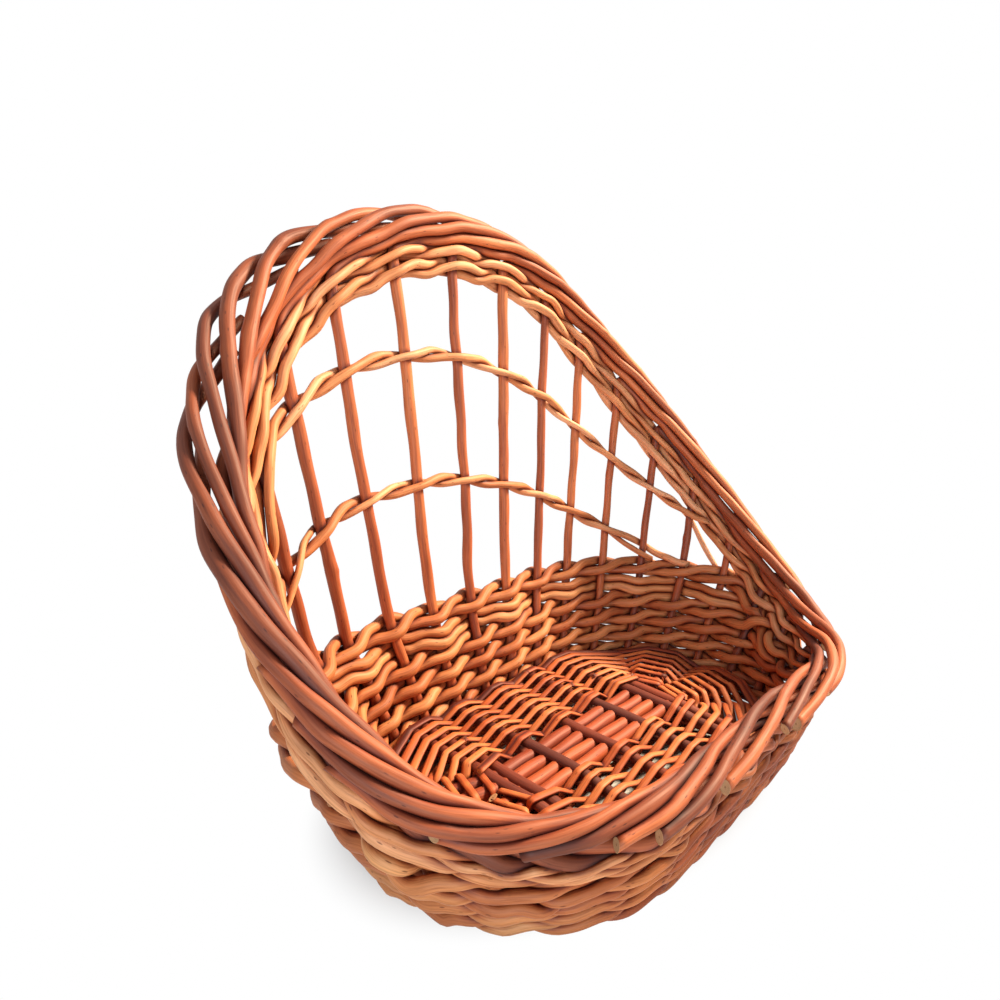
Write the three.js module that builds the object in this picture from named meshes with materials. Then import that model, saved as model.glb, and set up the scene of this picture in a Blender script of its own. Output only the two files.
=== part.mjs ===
// Oval willow basket with a high openwork back, a low woven wall and a rolled border.
// Millimetres, +Z up, the table at z = 0. X runs along the oval, -Y is the low front, +Y the high back.
// Pieces are placed about the middle of the foot, and the whole basket is centred at the end.

import * as THREE from 'three';

// Driving dimensions of the form, measured to the centres of the stakes
const FOOT_LENGTH = 234;
const FOOT_WIDTH = 139;
const KNEE_HEIGHT = 57;
const LOW_LEAN_ENDS = 0.55;
const LOW_LEAN_SIDES = 0.28;
const HIGH_LEAN_ENDS = 0.22;
const HIGH_LEAN_SIDES = 0.1;
const RIM_BACK = 252;
const RIM_FRONT = 49;
const RIM_SPAN = 0.353;

// Rod diameters
const STAKE_DIAMETER = 4.8;
const ROW_DIAMETER = 4.2;
const WALE_DIAMETER = 4.4;
const FITCH_DIAMETER = 3.8;
const BASE_WEAVER_DIAMETER = 3.2;

// Counts
const STAKE_COUNT = 29;
const ROW_COUNT = 9;
const BORDER_STRANDS = 6;
const WALE_RODS = 3;
const BASE_ROWS = 10;
const LONG_STICK_COUNT = 4;

// Sides of the rods' sections
const STAKE_SIDES = 5;
const ROW_SIDES = 5;
const GROUND_ROW_SIDES = 6;
const WALE_SIDES = 4;
const LONG_STICK_SIDES = 8;
const BASE_WEAVER_SIDES = 4;

// Room left between rods
const CLEARANCE = 0.3;
const ROW_SPACE = 1;
const BORDER_SPACE = 1.1;
const WALE_SPACE = 0.5;
const TWINE_SPACE = 0.6;
const BAND_SPACE = 1;
const GROUND_ROOM = 0.5;

// Base sticks
const CROSS_STATION_PITCH = 28;
const CROSS_STICK_WIDTH = 6.4;
const CROSS_STICK_THICKNESS = 6;
const SPLIT_STRAP = 2.2;
const SPLIT_WEB = 1;
const SHOULDER = 1.2;
const LONG_STICK_WIDTH = 7;
const LONG_STICK_THICKNESS = 4.6;
const LONG_STICK_SPACE = 0.6;
const FAN_SLOPE_INNER = 0.3;
const FAN_SLOPE_OUTER = 0.36;
const STICK_TAIL = 1;
const SEAT_STEPS = 20;
const FAN_PASSES = 6;
const END_ROUNDING = 14;
const END_SETBACK = 16;
const CORNER_NODE_RADIUS = 30;

// How a rod lies at a stake and how a stake turns into the border, as shares of the stake spacing
const FLAT_AT_STAKE = 0.13;
const ROW_TAIL = 0.36;
const STRAND_END = BORDER_STRANDS - 0.4;
const STRAND_JOIN = 0.5;
const BEND_DROP = 7;
const BEND_STEPS = 3;
const STRAND_STEP = 0.5;
const SLOPE_STEP = 0.1;

// Openwork rows: height as a share of the open part at the back's middle, its change per stake, and its reach
const LOWER_FITCH = { share: 0.406, tilt: -0.04, first: -3.6, last: 5.4 };
const UPPER_FITCH = { share: 0.815, tilt: -0.025, first: -3.6, last: 5.4 };

// How far rods that cross swing up and down, as a share of the room each takes
const TWINE_SWING = 0.66;
const WALE_SWING = 0.62;

// Waled band: its first stake, its turns and the climb between them, and one wave of a rod in half stakes
const WALE_START = 8;
const WALE_TURNS = 2;
const WALE_CLIMB = 3;
const WALE_ACROSS = [-1, 0, 1, 1, 1, 0];
const WALE_ABOVE = [0, 1, 1, 0, -1, -1];

// Finishes
const STAKE_BROWN = new THREE.MeshStandardMaterial({ color: 0xa9603c, roughness: 0.62, metalness: 0 });
const ROW_TAN = new THREE.MeshStandardMaterial({ color: 0xc67c48, roughness: 0.66, metalness: 0 });
const WALE_CREAM = new THREE.MeshStandardMaterial({ color: 0xcf9a68, roughness: 0.64, metalness: 0 });
const CROSS_BROWN = new THREE.MeshStandardMaterial({ color: 0x6e3a24, roughness: 0.7, metalness: 0 });
const LONG_RED = new THREE.MeshStandardMaterial({ color: 0xa85a38, roughness: 0.66, metalness: 0 });
const BASE_HONEY = new THREE.MeshStandardMaterial({ color: 0xcb8650, roughness: 0.66, metalness: 0 });

// Values that follow from the driving dimensions
const footRadius = FOOT_WIDTH / 2;
const footStraight = FOOT_LENGTH / 2 - footRadius;
const footPerimeter = 4 * footStraight + 2 * Math.PI * footRadius;
const stakeRadius = STAKE_DIAMETER / 2;
const rowRadius = ROW_DIAMETER / 2;
const waleRadius = WALE_DIAMETER / 2;
const baseRadius = BASE_WEAVER_DIAMETER / 2;
const rowClear = stakeRadius + rowRadius + CLEARANCE;

const strandTurn = (2 * Math.PI) / BORDER_STRANDS;
const strandChord = Math.cos((strandTurn * STRAND_STEP) / 2);
const borderRadius = (STAKE_DIAMETER + BORDER_SPACE) / (2 * Math.sin(strandTurn / 2) * strandChord);

const waleRoom = WALE_DIAMETER + WALE_SPACE;
const waleSwing = WALE_SWING * waleRoom;
const waleRise = 2 * waleSwing + waleRoom;
const waleTopDrop = borderRadius + STAKE_DIAMETER + BAND_SPACE + waleSwing + waleRadius;
const bandDrop = waleTopDrop + waleRise + waleSwing + waleRadius + CLEARANCE;

const twineSwing = (diameter) => TWINE_SWING * (diameter + TWINE_SPACE);
const pairHeight = KNEE_HEIGHT - twineSwing(ROW_DIAMETER) - rowRadius;
const lastRowHeight = pairHeight - twineSwing(ROW_DIAMETER) - ROW_DIAMETER - ROW_SPACE;
const flatRowHeight = rowRadius * Math.cos(Math.PI / GROUND_ROW_SIDES);
const rowPitch = (lastRowHeight - flatRowHeight) / (ROW_COUNT - 1);
const rowHeight = (row) => flatRowHeight + row * rowPitch;

// Half the oval's straight side and its end radius at a height
function wallSize(height) {
  const low = Math.min(height, KNEE_HEIGHT);
  const high = Math.max(height - KNEE_HEIGHT, 0);
  const radius = footRadius + LOW_LEAN_SIDES * low + HIGH_LEAN_SIDES * high;
  const half = FOOT_LENGTH / 2 + LOW_LEAN_ENDS * low + HIGH_LEAN_ENDS * high;
  return { radius, straight: half - radius };
}

// Stakes are counted clockwise from the middle of the back, and fractions lie between them
function fromBack(stake) {
  return stake - STAKE_COUNT * Math.round(stake / STAKE_COUNT);
}

function ovalPlace(stake) {
  const signed = fromBack(stake);
  const run = (Math.abs(signed) * footPerimeter) / STAKE_COUNT;
  const turn = THREE.MathUtils.clamp((run - footStraight) / footRadius, 0, Math.PI);
  const pastEnd = Math.max(run - footStraight - Math.PI * footRadius, 0);
  const along = Math.min(run / footStraight, 1) - pastEnd / footStraight;
  return { side: Math.sign(signed) || 1, turn, along };
}

// A point on the wall at a stake and a height, moved outward from the stakes' centres
function wallPoint(stake, height, outward = 0) {
  const { side, turn, along } = ovalPlace(stake);
  const { radius, straight } = wallSize(height);
  const x = side * (straight * along + (radius + outward) * Math.sin(turn));
  return new THREE.Vector3(x, (radius + outward) * Math.cos(turn), height);
}

// How much wider a level rod has to pass because the stake leans
function leanFactor(stake) {
  const lean = THREE.MathUtils.lerp(LOW_LEAN_SIDES, LOW_LEAN_ENDS, Math.sin(ovalPlace(stake).turn));
  return Math.hypot(1, lean);
}

function rimHeight(stake) {
  const share = Math.abs(fromBack(stake)) / STAKE_COUNT;
  const fall = Math.min(share / RIM_SPAN, 1);
  return RIM_FRONT + ((RIM_BACK - RIM_FRONT) * (1 + Math.cos(Math.PI * fall))) / 2;
}

// Rods that follow a falling line are spread further apart upright to keep their distance
function slopeStretch(stake, heightAt) {
  const before = wallPoint(stake - SLOPE_STEP, heightAt(stake - SLOPE_STEP));
  const after = wallPoint(stake + SLOPE_STEP, heightAt(stake + SLOPE_STEP));
  const step = after.sub(before);
  return Math.hypot(1, step.z / Math.hypot(step.x, step.y));
}

// A rod's centre line through its own nodes
class RodPath extends THREE.Curve {
  constructor(nodes) {
    super();
    this.nodes = nodes;
  }

  getPoint(share, target = new THREE.Vector3()) {
    const place = share * (this.nodes.length - 1);
    const index = Math.min(Math.floor(place), this.nodes.length - 2);
    return target.lerpVectors(this.nodes[index], this.nodes[index + 1], place - index);
  }

  getPointAt(share, target) {
    return this.getPoint(share, target);
  }

  getTangentAt(share, target = new THREE.Vector3()) {
    const index = Math.round(share * (this.nodes.length - 1));
    const here = this.nodes[index];
    const before = this.nodes[Math.max(index - 1, 0)];
    const after = this.nodes[Math.min(index + 1, this.nodes.length - 1)];
    const incoming = here.clone().sub(before).normalize();
    const outgoing = after.clone().sub(here).normalize();
    return target.copy(incoming).add(outgoing).normalize();
  }
}

// A section with one flat side square to its first axis
function roundSection(sides, across, upright = across) {
  const corners = [];
  for (let corner = 0; corner < sides; corner += 1) {
    const angle = ((corner + 0.5) * 2 * Math.PI) / sides;
    corners.push(new THREE.Vector2(upright * Math.cos(angle), across * Math.sin(angle)));
  }
  return new THREE.Shape(corners);
}

function rodMesh(name, nodes, section, material) {
  const extrudePath = new RodPath(nodes);
  const geometry = new THREE.ExtrudeGeometry(section, { steps: nodes.length - 1, extrudePath });
  const mesh = new THREE.Mesh(geometry, material);
  mesh.name = name;
  return mesh;
}

const twoDigits = (number) => String(number).padStart(2, '0');

// Places along a rod: its two ends and the given marks round each stake between them
function placesBetween(first, last, marks) {
  const places = [first];
  for (let stake = Math.floor(first); stake <= Math.ceil(last); stake += 1) {
    for (const mark of marks) {
      const place = stake + mark;
      if (place > first + FLAT_AT_STAKE && place < last - FLAT_AT_STAKE) places.push(place);
    }
  }
  places.push(last);
  return places;
}

const sideAt = (stake, phase) => ((stake + phase) % 2 === 0 ? -1 : 1);

// Swing of a rod that passes inside one stake and outside the next, flat where it lies on a stake
function rowSwing(place, phase) {
  const stake = Math.round(place);
  const away = Math.max(Math.abs(place - stake) - FLAT_AT_STAKE, 0);
  return sideAt(stake, phase) * (1 - (2 * away) / (1 - 2 * FLAT_AT_STAKE));
}

// The lower edge of the waled band under the border
function bandFloor(stake) {
  return rimHeight(stake) - bandDrop * slopeStretch(stake, rimHeight);
}

// How far from the middle of the back a rod runs, to just past or just before a stake, under the waled band
function clearReach(top) {
  let reach = 0;
  for (let stake = 0; stake < STAKE_COUNT / 2; stake += 1) {
    for (const tail of [ROW_TAIL, 1 - ROW_TAIL]) {
      if (bandFloor(stake + tail) > top) reach = stake + tail;
    }
  }
  return reach;
}

// Low wall: level rows that pass inside one stake and outside the next. A row that clears the band all the
// way round starts two stakes on from the row below, and the others end on both sides under the band.
function makeWallRow(row) {
  const height = rowHeight(row);
  const reach = clearReach(height + rowRadius);
  let first = -reach;
  let last = reach;
  if (reach + 1 > STAKE_COUNT / 2) {
    first = 2 * row - (row % 2) - ROW_TAIL;
    last = first + STAKE_COUNT - 1 + 2 * ROW_TAIL;
  }
  const nodes = placesBetween(first, last, [-FLAT_AT_STAKE, FLAT_AT_STAKE]).map((place) => {
    const swing = rowSwing(place, row) * rowClear * leanFactor(place);
    return wallPoint(place, height, swing);
  });
  const sides = row === 0 ? GROUND_ROW_SIDES : ROW_SIDES;
  return rodMesh(`wall_row_${twoDigits(row + 1)}`, nodes, roundSection(sides, rowRadius), ROW_TAN);
}

// Two rods that cross between stakes, one passing inside each stake while the other passes outside
function makeTwinedRow(name, heightAt, first, last, diameter, material) {
  const clear = stakeRadius + diameter / 2 + CLEARANCE;
  const rods = [];
  for (const [letter, phase] of [['a', 0], ['b', 1]]) {
    const nodes = placesBetween(first, last, [0, 0.5]).map((place) => {
      const left = Math.floor(place);
      const nearest = Math.round(place);
      const height = heightAt(place);
      const across = sideAt(nearest, phase) * (1 - 2 * Math.abs(place - nearest));
      const above = -sideAt(left, phase) * (1 - Math.abs(2 * (place - left) - 1));
      const lift = above * twineSwing(diameter) * slopeStretch(place, heightAt);
      return wallPoint(place, height + lift, across * clear * leanFactor(place));
    });
    rods.push(rodMesh(`${name}_${letter}`, nodes, roundSection(ROW_SIDES, diameter / 2), material));
  }
  return rods;
}

function fitchHeight(row) {
  return (stake) => {
    const share = row.share + row.tilt * fromBack(stake);
    return KNEE_HEIGHT + share * (bandFloor(stake) - KNEE_HEIGHT);
  };
}

// Waled band under the border: each rod passes outside two stakes and inside one, twice round the rim
function makeWaleRod(rod) {
  const first = WALE_START;
  const last = first + WALE_TURNS * STAKE_COUNT - WALE_CLIMB - 1;
  const places = placesBetween(first, last, [0, 0.5]);
  const nodes = places.map((place) => {
    const beat = (Math.round(2 * place) + 2 * rod) % WALE_ACROSS.length;
    const climb = THREE.MathUtils.clamp((place - first - STAKE_COUNT + WALE_CLIMB) / WALE_CLIMB, 0, 1);
    const drop = waleTopDrop + waleRise * (1 - climb) - waleSwing * WALE_ABOVE[beat];
    const height = rimHeight(place) - drop * slopeStretch(place, rimHeight);
    const clear = (stakeRadius + waleRadius + WALE_SPACE) * leanFactor(place);
    return wallPoint(place, height, WALE_ACROSS[beat] * clear);
  });
  return rodMesh(`rim_wale_${rod + 1}`, nodes, roundSection(WALE_SIDES, waleRadius), WALE_CREAM);
}

// Border: each stake bends over to the right and rolls round its neighbours, inside, over and outside
function borderPoint(stake, ahead) {
  const place = stake + ahead;
  const angle = -Math.PI / 2 - strandTurn * ahead;
  const point = wallPoint(place, rimHeight(place), borderRadius * Math.cos(angle));
  point.z += borderRadius * Math.sin(angle) * slopeStretch(place, rimHeight);
  return point;
}

function makeStake(index) {
  const stake = index - (STAKE_COUNT - 1) / 2;
  const entry = borderPoint(stake, 0);
  const bendStart = wallPoint(stake, entry.z - BEND_DROP);
  const nodes = [wallPoint(stake, GROUND_ROOM + stakeRadius)];
  if (bendStart.z > KNEE_HEIGHT + stakeRadius) nodes.push(wallPoint(stake, KNEE_HEIGHT));
  const bend = new THREE.QuadraticBezierCurve3(bendStart, entry, borderPoint(stake, STRAND_JOIN));
  nodes.push(...bend.getPoints(BEND_STEPS));
  for (let ahead = STRAND_JOIN + STRAND_STEP; ahead < STRAND_END; ahead += STRAND_STEP) {
    nodes.push(borderPoint(stake, ahead));
  }
  return rodMesh(`stake_${twoDigits(index + 1)}`, nodes, roundSection(STAKE_SIDES, stakeRadius), STAKE_BROWN);
}

// Base: split cross sticks with the long sticks threaded through them
const baseSwing = CROSS_STICK_THICKNESS / 2 + CLEARANCE + baseRadius;
const stickHeight = GROUND_ROOM + baseRadius + baseSwing;
const longPitch = LONG_STICK_WIDTH + LONG_STICK_SPACE;
const slotHalf = (LONG_STICK_COUNT * longPitch) / 2;
const hubHalf = slotHalf + SPLIT_WEB;
const slotRise = LONG_STICK_THICKNESS / 2 + CLEARANCE;
const pairOffset = (CROSS_STICK_WIDTH + CLEARANCE) / 2;
const pairEdge = 2 * CROSS_STATION_PITCH + pairOffset + CROSS_STICK_WIDTH / 2;
const innerWall = (reach) => reach - rowClear * Math.hypot(1, LOW_LEAN_ENDS) - rowRadius - CLEARANCE;
const baseHalfWidth = innerWall(footRadius);
const baseHalfLength = innerWall(FOOT_LENGTH / 2);

// The rounded rectangle that a base row follows, from the inner row at 0 to the outer row at 1
function baseRow(share) {
  const mix = (inner, outer) => THREE.MathUtils.lerp(inner, outer, share);
  const outerRadius = baseHalfWidth - STICK_TAIL - baseRadius;
  const outerHalfLength = baseHalfLength - STICK_TAIL - baseRadius;
  const corner = mix(END_ROUNDING, outerRadius);
  const halfWidth = mix(hubHalf + SHOULDER + baseRadius, outerRadius);
  const halfLength = mix(pairEdge + END_SETBACK, outerHalfLength);
  return { corner, flatX: halfLength - corner, flatY: halfWidth - corner };
}

const rounded = (corner, over) => Math.sqrt(Math.max(corner ** 2 - Math.max(over, 0) ** 2, 0));
const rowWidthAt = (row, x) => row.flatY + rounded(row.corner, Math.abs(x) - row.flatX);
const rowLengthAt = (row, y) => row.flatX + rounded(row.corner, Math.abs(y) - row.flatY);

// Long sticks fan apart in two pairs past the outer pair of cross sticks
const longStickLane = (stick) => (stick - (LONG_STICK_COUNT - 1) / 2) * longPitch;

function fanY(lane, x) {
  const slope = Math.abs(lane) < longPitch ? FAN_SLOPE_INNER : FAN_SLOPE_OUTER;
  return lane + Math.sign(lane) * slope * Math.max(x - pairEdge, 0);
}

function fanCrossing(row, lane) {
  let x = rowLengthAt(row, lane);
  for (let pass = 0; pass < FAN_PASSES; pass += 1) x = rowLengthAt(row, fanY(lane, x));
  return fanY(lane, x);
}

// How far a cross stick reaches, to the back or the front, before it meets the second wall row or a stake
function stickReach(x, side) {
  const near = CROSS_STICK_WIDTH / 2 + stakeRadius;
  const stickFloor = stickHeight - CROSS_STICK_THICKNESS / 2;
  let reach = Infinity;
  for (let step = 0; step < STAKE_COUNT * SEAT_STEPS; step += 1) {
    const place = step / SEAT_STEPS;
    const swing = rowSwing(place, 1) * rowClear * leanFactor(place);
    const seats = [wallPoint(place, rowHeight(1), swing - rowRadius - CLEARANCE)];
    if (step % SEAT_STEPS === 0) seats.push(wallPoint(place, stickFloor, -stakeRadius - CLEARANCE));
    for (const seat of seats) {
      if (seat.y * side > 0 && Math.abs(seat.x - x) < near) reach = Math.min(reach, Math.abs(seat.y));
    }
  }
  return reach;
}

function makeCrossStick(number, x) {
  const half = CROSS_STICK_THICKNESS / 2;
  const hubRise = slotRise + SPLIT_STRAP;
  const backEnd = stickReach(x, 1);
  const frontEnd = -stickReach(x, -1);
  const profile = new THREE.Shape();
  profile.moveTo(frontEnd, -half);
  profile.lineTo(-hubHalf - SHOULDER, -half);
  profile.lineTo(-hubHalf, -hubRise);
  profile.lineTo(hubHalf, -hubRise);
  profile.lineTo(hubHalf + SHOULDER, -half);
  profile.lineTo(backEnd, -half);
  profile.lineTo(backEnd, half);
  profile.lineTo(hubHalf + SHOULDER, half);
  profile.lineTo(hubHalf, hubRise);
  profile.lineTo(-hubHalf, hubRise);
  profile.lineTo(-hubHalf - SHOULDER, half);
  profile.lineTo(frontEnd, half);
  profile.closePath();
  const slot = new THREE.Path();
  slot.moveTo(-slotHalf, -slotRise);
  slot.lineTo(-slotHalf, slotRise);
  slot.lineTo(slotHalf, slotRise);
  slot.lineTo(slotHalf, -slotRise);
  slot.closePath();
  profile.holes.push(slot);
  const geometry = new THREE.ExtrudeGeometry(profile, { depth: CROSS_STICK_WIDTH, bevelEnabled: false });
  geometry.translate(0, 0, -CROSS_STICK_WIDTH / 2);
  const acrossY = new THREE.Vector3(0, 1, 0);
  const upZ = new THREE.Vector3(0, 0, 1);
  const alongX = new THREE.Vector3(1, 0, 0);
  geometry.applyMatrix4(new THREE.Matrix4().makeBasis(acrossY, upZ, alongX));
  const mesh = new THREE.Mesh(geometry, CROSS_BROWN);
  mesh.name = `base_cross_stick_${number}`;
  mesh.position.set(x, 0, stickHeight);
  return mesh;
}

function crossStickPlaces() {
  const outer = 2 * CROSS_STATION_PITCH;
  const singles = [-CROSS_STATION_PITCH, 0, CROSS_STATION_PITCH];
  return [-outer - pairOffset, -outer + pairOffset, ...singles, outer - pairOffset, outer + pairOffset];
}

function makeLongStick(stick) {
  const lane = longStickLane(stick);
  const outer = baseRow(1);
  const endY = fanCrossing(outer, lane);
  const endX = rowLengthAt(outer, endY);
  const nodes = [
    new THREE.Vector3(-endX, endY, stickHeight),
    new THREE.Vector3(-pairEdge, lane, stickHeight),
    new THREE.Vector3(pairEdge, lane, stickHeight),
    new THREE.Vector3(endX, endY, stickHeight),
  ];
  for (const [end, next] of [[nodes[0], nodes[1]], [nodes[3], nodes[2]]]) {
    end.add(end.clone().sub(next).setLength(STICK_TAIL + baseRadius));
  }
  const section = roundSection(LONG_STICK_SIDES, LONG_STICK_WIDTH / 2, LONG_STICK_THICKNESS / 2);
  return rodMesh(`base_long_stick_${stick + 1}`, nodes, section, LONG_RED);
}

// Stations round the base, clockwise from its left end's back corner: what a base weaver crosses in turn.
// from and to are x on a cross station, and stick lanes on a pair of long sticks.
function baseStations() {
  const edge = CROSS_STICK_WIDTH / 2 + baseRadius / 2;
  const back = [-2, -1, 0, 1, 2].map((step) => {
    const half = Math.abs(step) === 2 ? edge + pairOffset : edge;
    const at = step * CROSS_STATION_PITCH;
    return { cross: true, side: 1, from: at - half, to: at + half };
  });
  const front = back.map(({ from, to }) => ({ cross: true, side: -1, from: to, to: from })).reverse();
  const outer = longStickLane(LONG_STICK_COUNT - 1);
  const inner = longStickLane(LONG_STICK_COUNT - 2);
  const right = [{ from: outer, to: inner }, { from: -inner, to: -outer }];
  const left = [{ from: -outer, to: -inner }, { from: inner, to: outer }];
  const ends = (pairs, side) => pairs.map((pair) => ({ cross: false, side, ...pair }));
  return [...back, ...ends(right, 1), ...front, ...ends(left, -1)];
}

// The middle of the round corner between the last cross stick and the long sticks, or the other way
function cornerPoint(row, before, after) {
  const reach = row.corner * Math.SQRT1_2;
  const sideX = before.cross ? after.side : before.side;
  const sideY = before.cross ? before.side : after.side;
  return new THREE.Vector3(sideX * (row.flatX + reach), sideY * (row.flatY + reach), stickHeight);
}

// Where a base weaver meets the two edges of a station
function stationPoints(row, { cross, side, from, to }, height) {
  if (cross) {
    return [from, to].map((x) => new THREE.Vector3(x, side * rowWidthAt(row, x), height));
  }
  const edge = (Math.sign(from - to) * (LONG_STICK_WIDTH + baseRadius)) / 2;
  return [fanCrossing(row, from) + edge, fanCrossing(row, to) - edge].map(
    (y) => new THREE.Vector3(side * rowLengthAt(row, y), y, height),
  );
}

// Two base weavers spiral out together, one over each stick where the other goes under
function makeBaseWeaver(letter, startRow) {
  const stations = baseStations();
  const steps = (stations.length * (BASE_ROWS - 2)) / 2;
  const nodes = [];
  for (let step = 0; step < steps; step += 1) {
    const station = stations[step % stations.length];
    const rowNumber = startRow + (2 * step) / stations.length;
    const row = baseRow(rowNumber / (BASE_ROWS - 1));
    const over = (step + startRow) % 2 === 0 ? 1 : -1;
    const height = stickHeight + over * baseSwing;
    const next = stations[(step + 1) % stations.length];
    nodes.push(...stationPoints(row, station, height));
    const turnsCorner = station.cross !== next.cross && step + 1 < steps;
    if (turnsCorner && row.corner > CORNER_NODE_RADIUS) nodes.push(cornerPoint(row, station, next));
  }
  return rodMesh(`base_weaver_${letter}`, nodes, roundSection(BASE_WEAVER_SIDES, baseRadius), BASE_HONEY);
}

const base = new THREE.Group();
crossStickPlaces().forEach((x, index) => base.add(makeCrossStick(index + 1, x)));
for (let stick = 0; stick < LONG_STICK_COUNT; stick += 1) base.add(makeLongStick(stick));
base.add(makeBaseWeaver('a', 0), makeBaseWeaver('b', 1));

const stakes = new THREE.Group();
for (let index = 0; index < STAKE_COUNT; index += 1) stakes.add(makeStake(index));

const weave = new THREE.Group();
for (let row = 0; row < ROW_COUNT; row += 1) weave.add(makeWallRow(row));
const pairReach = clearReach(KNEE_HEIGHT);
weave.add(...makeTwinedRow('wall_top_pair', () => pairHeight, -pairReach, pairReach, ROW_DIAMETER, ROW_TAN));
for (const [name, row] of [['openwork_lower', LOWER_FITCH], ['openwork_upper', UPPER_FITCH]]) {
  weave.add(...makeTwinedRow(name, fitchHeight(row), row.first, row.last, FITCH_DIAMETER, WALE_CREAM));
}
for (let rod = 0; rod < WALE_RODS; rod += 1) weave.add(makeWaleRod(rod));

const basket = new THREE.Group();
basket.name = 'willow_basket';
basket.add(base, stakes, weave);

// The origin is the middle of the basket's box, on the table
const box = new THREE.Box3().setFromObject(basket);
const middle = box.getCenter(new THREE.Vector3());
basket.position.set(-middle.x, -middle.y, -box.min.z);

export default basket;
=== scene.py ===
# %% [markdown]
# # A willow basket, rod by rod
# The basket is nothing but rods: some stand as stakes, others are woven round them, and the tops of the
# stakes are bent over into a rolled border. So the script has one main kind of piece, a rod that follows
# a route, and most of the cells below only say where each rod goes. The rods of the wall then settle
# against each other, and each rod becomes a mesh with bark, knots and cut ends. Only the split sticks of
# the base are made in another way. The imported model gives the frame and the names.

# %% Load the frame
import math
import random
from dataclasses import dataclass

import bpy
import numpy as np
from mathutils import Matrix, Vector, kdtree


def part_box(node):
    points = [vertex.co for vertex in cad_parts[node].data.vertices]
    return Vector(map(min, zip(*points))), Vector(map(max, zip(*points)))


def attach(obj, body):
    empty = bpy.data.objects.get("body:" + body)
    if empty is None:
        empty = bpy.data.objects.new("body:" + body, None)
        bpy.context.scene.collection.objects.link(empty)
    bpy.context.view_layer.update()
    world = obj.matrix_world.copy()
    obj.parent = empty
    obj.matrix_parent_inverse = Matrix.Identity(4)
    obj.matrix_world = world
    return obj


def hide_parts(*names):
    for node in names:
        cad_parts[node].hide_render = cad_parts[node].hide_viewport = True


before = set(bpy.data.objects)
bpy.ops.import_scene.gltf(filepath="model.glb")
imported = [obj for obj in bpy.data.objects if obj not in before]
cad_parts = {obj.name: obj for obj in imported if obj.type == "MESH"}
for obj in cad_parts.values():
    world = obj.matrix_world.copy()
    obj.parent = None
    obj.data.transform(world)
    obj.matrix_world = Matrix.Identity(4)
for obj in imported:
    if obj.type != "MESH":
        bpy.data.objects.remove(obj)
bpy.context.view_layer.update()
scene = bpy.context.scene
MM = 0.001

# %% [markdown]
# ## Camera
# The photograph looks down into the basket from its front left corner, from about 40 cm away, which a
# short lens shows with strong perspective. The camera is set by the angles of its view, a point that it
# looks at and its distance, because those are easy to read and to change one at a time.

# %% Place the camera
VIEW_AZIMUTH = math.radians(-47.1)
VIEW_ELEVATION = math.radians(13.07)
VIEW_ROLL = math.radians(1.63)
VIEW_DISTANCE = 397.8
VIEW_TARGET = Vector((24.8, 77.0, 108.6))
SENSOR_WIDTH = 36.0
FOCAL_LENGTH = 25.17


def place_camera():
    level = math.cos(VIEW_ELEVATION)
    back = Vector((math.sin(VIEW_AZIMUTH) * level, -math.cos(VIEW_AZIMUTH) * level, math.sin(VIEW_ELEVATION)))
    level_right = Vector((math.cos(VIEW_AZIMUTH), math.sin(VIEW_AZIMUTH), 0))
    level_up = back.cross(level_right)
    right = level_right * math.cos(VIEW_ROLL) + level_up * math.sin(VIEW_ROLL)
    up = level_up * math.cos(VIEW_ROLL) - level_right * math.sin(VIEW_ROLL)
    lens = bpy.data.cameras.new("photo_camera")
    lens.sensor_width = SENSOR_WIDTH
    lens.lens = FOCAL_LENGTH
    camera = bpy.data.objects.new("photo_camera", lens)
    turn = Matrix((right, up, back)).transposed().to_4x4()
    turn.translation = (VIEW_TARGET + back * VIEW_DISTANCE) * MM
    camera.matrix_world = turn
    scene.collection.objects.link(camera)
    return camera


scene.camera = place_camera()
scene.view_settings.view_transform = "Standard"
print("camera at", [round(value / MM) for value in scene.camera.location], "mm")

# %% [markdown]
# ## Background and floor
# The basket stands in a white studio. A bright sky round it would be the simplest, but it would wash out
# every shadow in the weave. So the background is white only to the camera and to reflections, and adds
# almost no light of its own. The floor is plain matt white under the basket, where it takes the shadow,
# and turns into the same white further out, so that no horizon shows. The matt part is an oval like the
# foot, so that what shows through the base stays dark.

# %% Build the background and the floor
FLOOR_SIZE = 6.0
FLOOR_WHITE = 0.6
FLOOR_NEAR, FLOOR_FAR = 0.1, 0.145
FLOOR_OVAL = (1.0, 1.55, 1.0)
FLOOR_ROUGHNESS = 0.9
AMBIENT = 0.04


def combined(nodes, links, operation, first, second):
    """Product, maximum or the like of two values in a shader."""
    node = nodes.new("ShaderNodeMath")
    node.operation = operation
    links.new(first, node.inputs[0])
    links.new(second, node.inputs[1])
    return node.outputs[0]


def white_to_camera(nodes, links):
    """A factor that is 1 for what the camera sees, directly or in a gloss, and 0 for light."""
    path = nodes.new("ShaderNodeLightPath")
    factor = path.outputs["Is Camera Ray"]
    for kind in ("Is Glossy Ray", "Is Transmission Ray"):
        factor = combined(nodes, links, "MAXIMUM", factor, path.outputs[kind])
    return factor


def make_world():
    world = bpy.data.worlds.new("studio")
    world.use_nodes = True
    nodes, links = world.node_tree.nodes, world.node_tree.links
    strength = nodes.new("ShaderNodeMapRange")
    strength.inputs["To Min"].default_value = AMBIENT
    strength.inputs["To Max"].default_value = 1.0
    links.new(white_to_camera(nodes, links), strength.inputs["Value"])
    links.new(strength.outputs["Result"], nodes["Background"].inputs["Strength"])
    nodes["Background"].inputs["Color"].default_value = (1, 1, 1, 1)
    return world


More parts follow.
